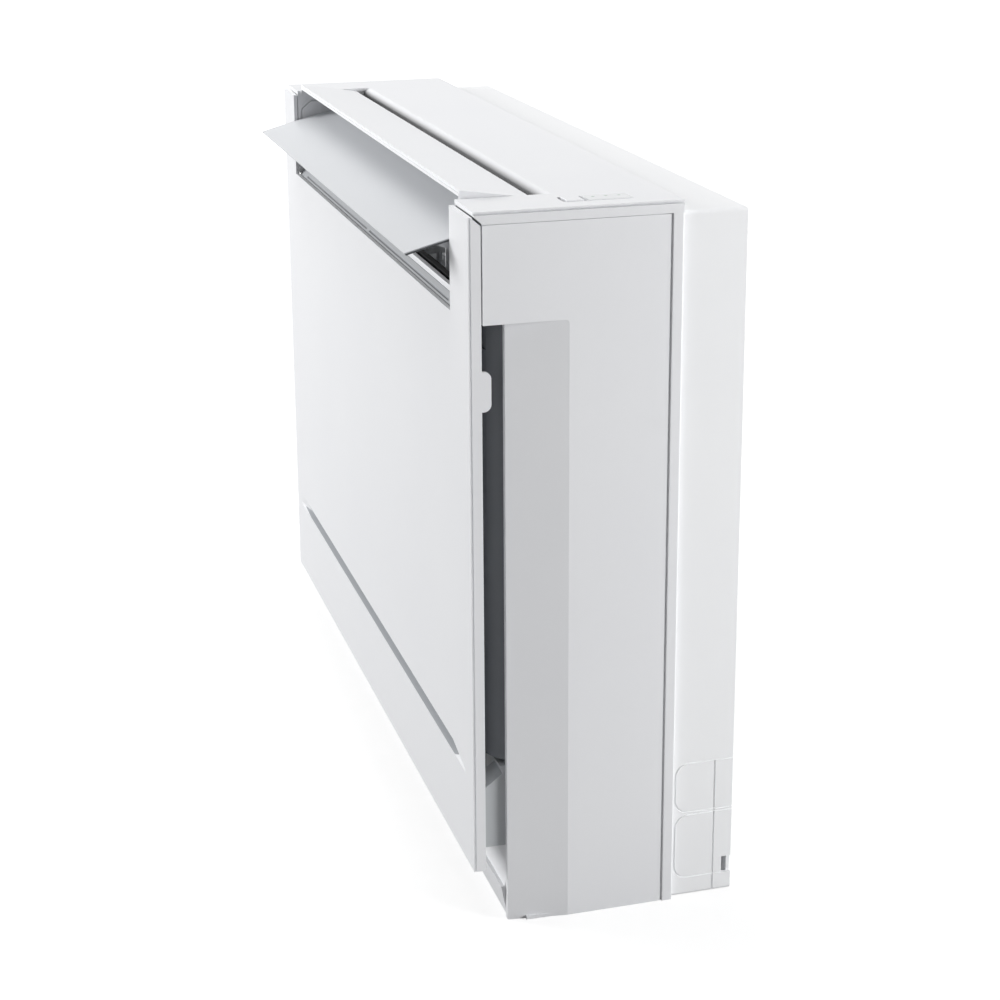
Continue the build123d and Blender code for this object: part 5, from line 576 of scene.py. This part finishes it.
panel = bar("front_panel_piece", "Y", FACE_Y, SHEET_Y, [
    (-RIM_X, FOOT_Z), (RIM_X, FOOT_Z), (RIM_X, HEAD_Z), (NOTCH_X, HEAD_Z), (NOTCH_X, NOTCH_Z),
    (-NOTCH_X, NOTCH_Z), (-NOTCH_X, HEAD_Z), (-RIM_X, HEAD_Z)])
flange = [
    (FACE_Y + 0.1, FOOT_Z), (FACE_Y + 0.1, HEAD_Z), (SHEET_Y, HEAD_Z - 1), (FLANGE_Y, 589),
    (FLANGE_Y, TAB_Z[1] + TAB_R), *arc((-102, TAB_Z[1]), TAB_R, 90, 0),
    *arc((-102, TAB_Z[0]), TAB_R, 0, -90), (FLANGE_Y, TAB_Z[0] - TAB_R), (FLANGE_Y, FOOT_Z)]
arm = [
    (ROOT_Y, HINGE_AT[1] - ARM_R), *arc(HINGE_AT, ARM_R, -90, 90, 12),
    (ROOT_Y, HINGE_AT[1] + ARM_R)]
parts = [
    box("rib", (-300, ROOT_Y, z - 0.9), (300, -106, z + 0.9)) for z in (222, 318, 420)
]
for side in (-1, 1):
    parts += [
        bar("flange", "X", *across(side, 372.5, RIM_X), flange),
        bar("hinge_arm", "X", *across(side, *ARM_X), arm),
        pin("hinge_pin", "X", (side * 335.6, *HINGE_AT), 3, side * 9.1),
        pin("catch_peg", "Y", (side * PEG_X, ROOT_Y, PEG_Z), 3, 11.2),
    ]
combine(panel, parts)
cuts = []
for side in (-1, 1):
    low, high = across(side, 374.2, 376)
    cuts.append(box("line_by_face", (low, -112.5, 40), (high, -111.6, 610)))
combine(panel, cuts, "DIFFERENCE")

# long groove near the foot: a crease pushed in, running out to nothing at both ends
GROOVE_Z, CREASE_Z = (131, 143), 133.64
CREASE_X, RUN_OUT_X = (-303, 311), 350
edit()
for z in (GROOVE_Z[0], CREASE_Z, GROOVE_Z[1]):
    split("Z", z)
for x in (-RUN_OUT_X, *CREASE_X, RUN_OUT_X):
    split("X", x)
choose("VERT", lambda at: (
    near(at.y, FACE_Y) and near(at.z, CREASE_Z) and CREASE_X[0] - 1 < at.x < CREASE_X[1] + 1))
shift(0, 7, 0)
choose("VERT", lambda at: near(at.y, SHEET_Y) and near(at.z, CREASE_Z) and abs(at.x) < 345)
shift(0, 5.7, 0)
bpy.ops.object.mode_set(mode="OBJECT")
finished(panel, ["front_panel"], "panel", white_abs, edge=0.5, angle=24)

# grey strip along the groove, painted shade for its hollow: its left end narrows to two tongues
# beside the white run-out
SHADE_STRIP_X, TAPER_X = (-338, 320), (-302, 310)
shade_strip = bar("groove_shade_strip", "X", *SHADE_STRIP_X, [
    (-113.3, 142.3), (-107, 133.8), (-113.2, 131.45), (-112.4, 131), (-106.1, 133.6),
    (-112.4, 142.4)])
edit()
for x in TAPER_X:
    split("X", x)
choose("VERT", lambda at: near(at.x, SHADE_STRIP_X[1]) and at.y > -108)
shift(0, -1.4, 0)
choose("VERT", lambda at: near(at.x, SHADE_STRIP_X[0]) and at.z > 142)
shift(0, 1.6, -2.3)
choose("VERT", lambda at: near(at.x, SHADE_STRIP_X[0]) and at.z < 131.6)
shift(0, 1.3, 0.5)
bpy.ops.object.mode_set(mode="OBJECT")
finished(shade_strip, [], "panel", grey_shade_abs, edge=0)

# ---------------------------------------------------------------- outlet flap
FLAP_X, CORE_X = 317.5, 317.2

# a thin white skin over a dark core, whose edge shows as a dark line round the blade: painted shade
# along the flap's end
skin = [
    *bowed((-10.8, -44.8), (-9.4, 33.2), 0.7), (-8.4, 33.2),
    *bowed((-8.4, 33.2), (-9.9, -44.8), -0.7)[1:]]
core = [
    *bowed((-9.9, -43.9), (-8.5, 32), 0.7), (-6.6, 32.4), (-6.2, 31.6),
    *bowed((-6.2, 31.6), (-8.4, -43.9), -0.9)[1:]]
arm = hinged(FLAP_AT, FLAP_OPEN, [(-9.4, -19), (-9.2, 18)] + arc((0, 0), 5.2, 90, -40))
flap = bar("outlet_flap_piece", "X", -FLAP_X, FLAP_X, hinged(FLAP_AT, FLAP_OPEN, skin))
flap_core = bar("flap_core", "X", -CORE_X, CORE_X, hinged(FLAP_AT, FLAP_OPEN, core))
finished(flap_core, [], "flap", dark_shade_abs, edge=0.2)
parts = []
for side in (-1, 1):
    parts += [
        bar("arm", "X", *across(side, FLAP_X - 4.4, FLAP_X - 1.4), arm),
        pin("pivot", "X", (side * (FLAP_X - 2.4), *FLAP_AT), 3, side * 9.4),
    ]
combine(flap, parts)
# the flap's greyed white is painted shade
finished(flap, ["outlet_flap"], "flap", flap_shade_abs, edge=0.3)

# ---------------------------------------------------------------- top visor
VISOR_X = 319.4

plate = [
    (-43.5, 7.5), (15.3, 7.5), (16, 6.9), (16, 5.2), (15, 4.5), (-40.5, 4.5), (-41.7, 2.7),
    (-43.2, 2.7), (-43.5, 3), (-43.5, 4.9), (-42.8, 5.1), (-42.8, 5.5), (-43.5, 5.7)]
skirt = [(-42.9, 6), (-42.9, -2.5), *arc((0, 0), 4.5, -100, 0), (4.5, 6)]
skirt = hinged(VISOR_AT, VISOR_OPEN, skirt)
visor = bar("top_visor_piece", "X", -VISOR_X, VISOR_X, hinged(VISOR_AT, VISOR_OPEN, plate))
parts = []
for side in (-1, 1):
    parts += [
        bar("skirt", "X", *across(side, VISOR_X - 1.4, VISOR_X), skirt),
        pin("pivot", "X", (side * (VISOR_X - 1), *VISOR_AT), 2, side * 6.1),
    ]
combine(visor, parts)
finished(visor, ["top_visor"], "visor", white_abs, edge=0.25)

# ---------------------------------------------------------------- outlet ledge
LEDGE_X, FOAM_X = 321.2, 318.6

ledge = bar("outlet_ledge_piece", "X", -LEDGE_X, LEDGE_X, [
    (-109.4, 511), (-103.4, 518), (-100.5, 518), (-100.5, 503), (-102.4, 503), (-102.4, 515),
    (-107.4, 509), (-109.4, 509)])
cuts = []
for side in (-1, 1):
    low, high = across(side, 5.5, 291)
    cuts.append(box("slit", (low, -107.4, 508), (high, -106.2, 520)))
combine(ledge, cuts, "DIFFERENCE")
# the ledge's mid grey is the duct's pale grey deepened as painted shade under the flap
finished(ledge, ["outlet_ledge"], "casing", grey_shade_abs, edge=0.2)
lip = bar("outlet_lip_strip", "X", -LEDGE_X, LEDGE_X, [
    (-103.2, 518.2), (-102.4, 522.5), (-98.5, 522.5), (-98.5, 503), (-100.3, 503),
    (-100.3, 518.2)])
finished(lip, [], "casing", white_abs, edge=0.3)

# black foam folded over the duct's lip and laid on the deck behind it
foam_strip = bar("draught_strip_piece", "X", -FOAM_X, FOAM_X, [
    (-92.4, 511), (-92.4, 519.4), (-91.8, 520), (-87.6, 520), (-87, 519.4), (-86.4, 511),
    (-85.2, 509.9), (-75.2, 509.9), (-75.2, 508.1), (-88, 508.1), (-88.4, 518.7),
    (-91.2, 518.7), (-91.2, 511)])
finished(foam_strip, ["draught_strip"], "casing", rubber, edge=0.2)


# ---------------------------------------------------------------- floor, backdrop and light
def soft_light(name, at, aim, size, watts):
    """A large rectangular lamp turned towards a point; places and size are in metres."""
    bpy.ops.object.light_add(type="AREA", location=at)
    lamp = bpy.context.object
    lamp.name = name
    lamp.data.shape = "RECTANGLE"
    lamp.data.size, lamp.data.size_y = size
    lamp.data.energy = watts
    lamp.rotation_euler = (Vector(aim) - Vector(at)).to_track_quat("-Z", "Y").to_euler()


# the key stands far to the left and lights the panel; the second lights the right side
soft_light("key_softbox", (-3.0, -3.8, 1.7), aim=(-0.1, -0.1, 0.36), size=(2.6, 2.0), watts=236)
soft_light("rear_side_softbox", (1.8, 2.2, 0.9), aim=(0.37, 0, 0.3), size=(1.3, 1.5), watts=76)
soft_light("overhead_softbox", (-0.3, -0.2, 2.8), aim=(0, 0, 0.4), size=(2.4, 1.5), watts=30)

bpy.ops.mesh.primitive_plane_add(size=30, location=(0, 0, 0))
floor = bpy.context.object
floor.name = "studio_floor"

# Matt studio paper: it takes the object's soft shadow and is lifted to a pale ground where the
# camera sees it. Its faint clouds are 25 mm wide, far coarser than its fibres.
made, tree, place = blank("white_studio_paper")
fibre = node(tree, "ShaderNodeTexNoise", {"Vector": place, "Scale": per_mm(25), "Detail": 4})
tint = node(tree, "ShaderNodeMix", {
    "Factor": fibre.outputs["Fac"], "A": linear("#F4F4F4"), "B": linear("#F7F7F7")},
    data_type="RGBA")
dull = node(tree, "ShaderNodeMix", {
    "Factor": fibre.outputs["Fac"], "A": linear("#A6A6A6"), "B": linear("#ABABAB")},
    data_type="RGBA")
paper = node(tree, "ShaderNodeBsdfPrincipled", {
    "Base Color": dull.outputs["Result"], "Roughness": 0.9, "IOR": 1.4})
reach = node(tree, "ShaderNodeVectorMath", {"Vector": place}, operation="LENGTH").outputs["Value"]
strength = node(tree, "ShaderNodeMapRange", {
    "Value": reach, "From Min": 0.6, "From Max": 3.0, "To Min": 0.75, "To Max": 1.12})
glow = node(tree, "ShaderNodeEmission", {
    "Color": tint.outputs["Result"], "Strength": strength.outputs["Result"]})
seen = node(tree, "ShaderNodeLightPath", {}).outputs["Is Camera Ray"]
lift = node(tree, "ShaderNodeMixShader", {"Fac": seen})
both = node(tree, "ShaderNodeAddShader", {})
tree.links.new(paper.outputs["BSDF"], both.inputs[0])
tree.links.new(glow.outputs["Emission"], both.inputs[1])
tree.links.new(paper.outputs["BSDF"], lift.inputs[1])
tree.links.new(both.outputs["Shader"], lift.inputs[2])
node(tree, "ShaderNodeOutputMaterial", {"Surface": lift.outputs["Shader"]})
floor.data.materials.append(made)

# White all round: full white to the camera, in reflections and through clear things, and dim as a
# light on everything else.
world = bpy.data.worlds.new("white_studio")
bpy.context.scene.world = world
world.use_nodes = True
tree = world.node_tree
tree.nodes.clear()
rays = node(tree, "ShaderNodeLightPath", {})
seen = node(tree, "ShaderNodeMath", {}, operation="ADD", use_clamp=True)
tree.links.new(rays.outputs["Is Camera Ray"], seen.inputs[0])
tree.links.new(rays.outputs["Is Glossy Ray"], seen.inputs[1])
through = node(tree, "ShaderNodeMath", {}, operation="ADD", use_clamp=True)
tree.links.new(seen.outputs["Value"], through.inputs[0])
tree.links.new(rays.outputs["Is Transmission Ray"], through.inputs[1])
power = node(tree, "ShaderNodeMapRange", {
    "Value": through.outputs["Value"], "To Min": 0.15, "To Max": 1.0})
sky = node(tree, "ShaderNodeBackground", {
    "Color": (1, 1, 1, 1), "Strength": power.outputs["Result"]})
node(tree, "ShaderNodeOutputWorld", {"Surface": sky.outputs["Background"]})

bpy.context.scene.view_settings.view_transform = "Standard"
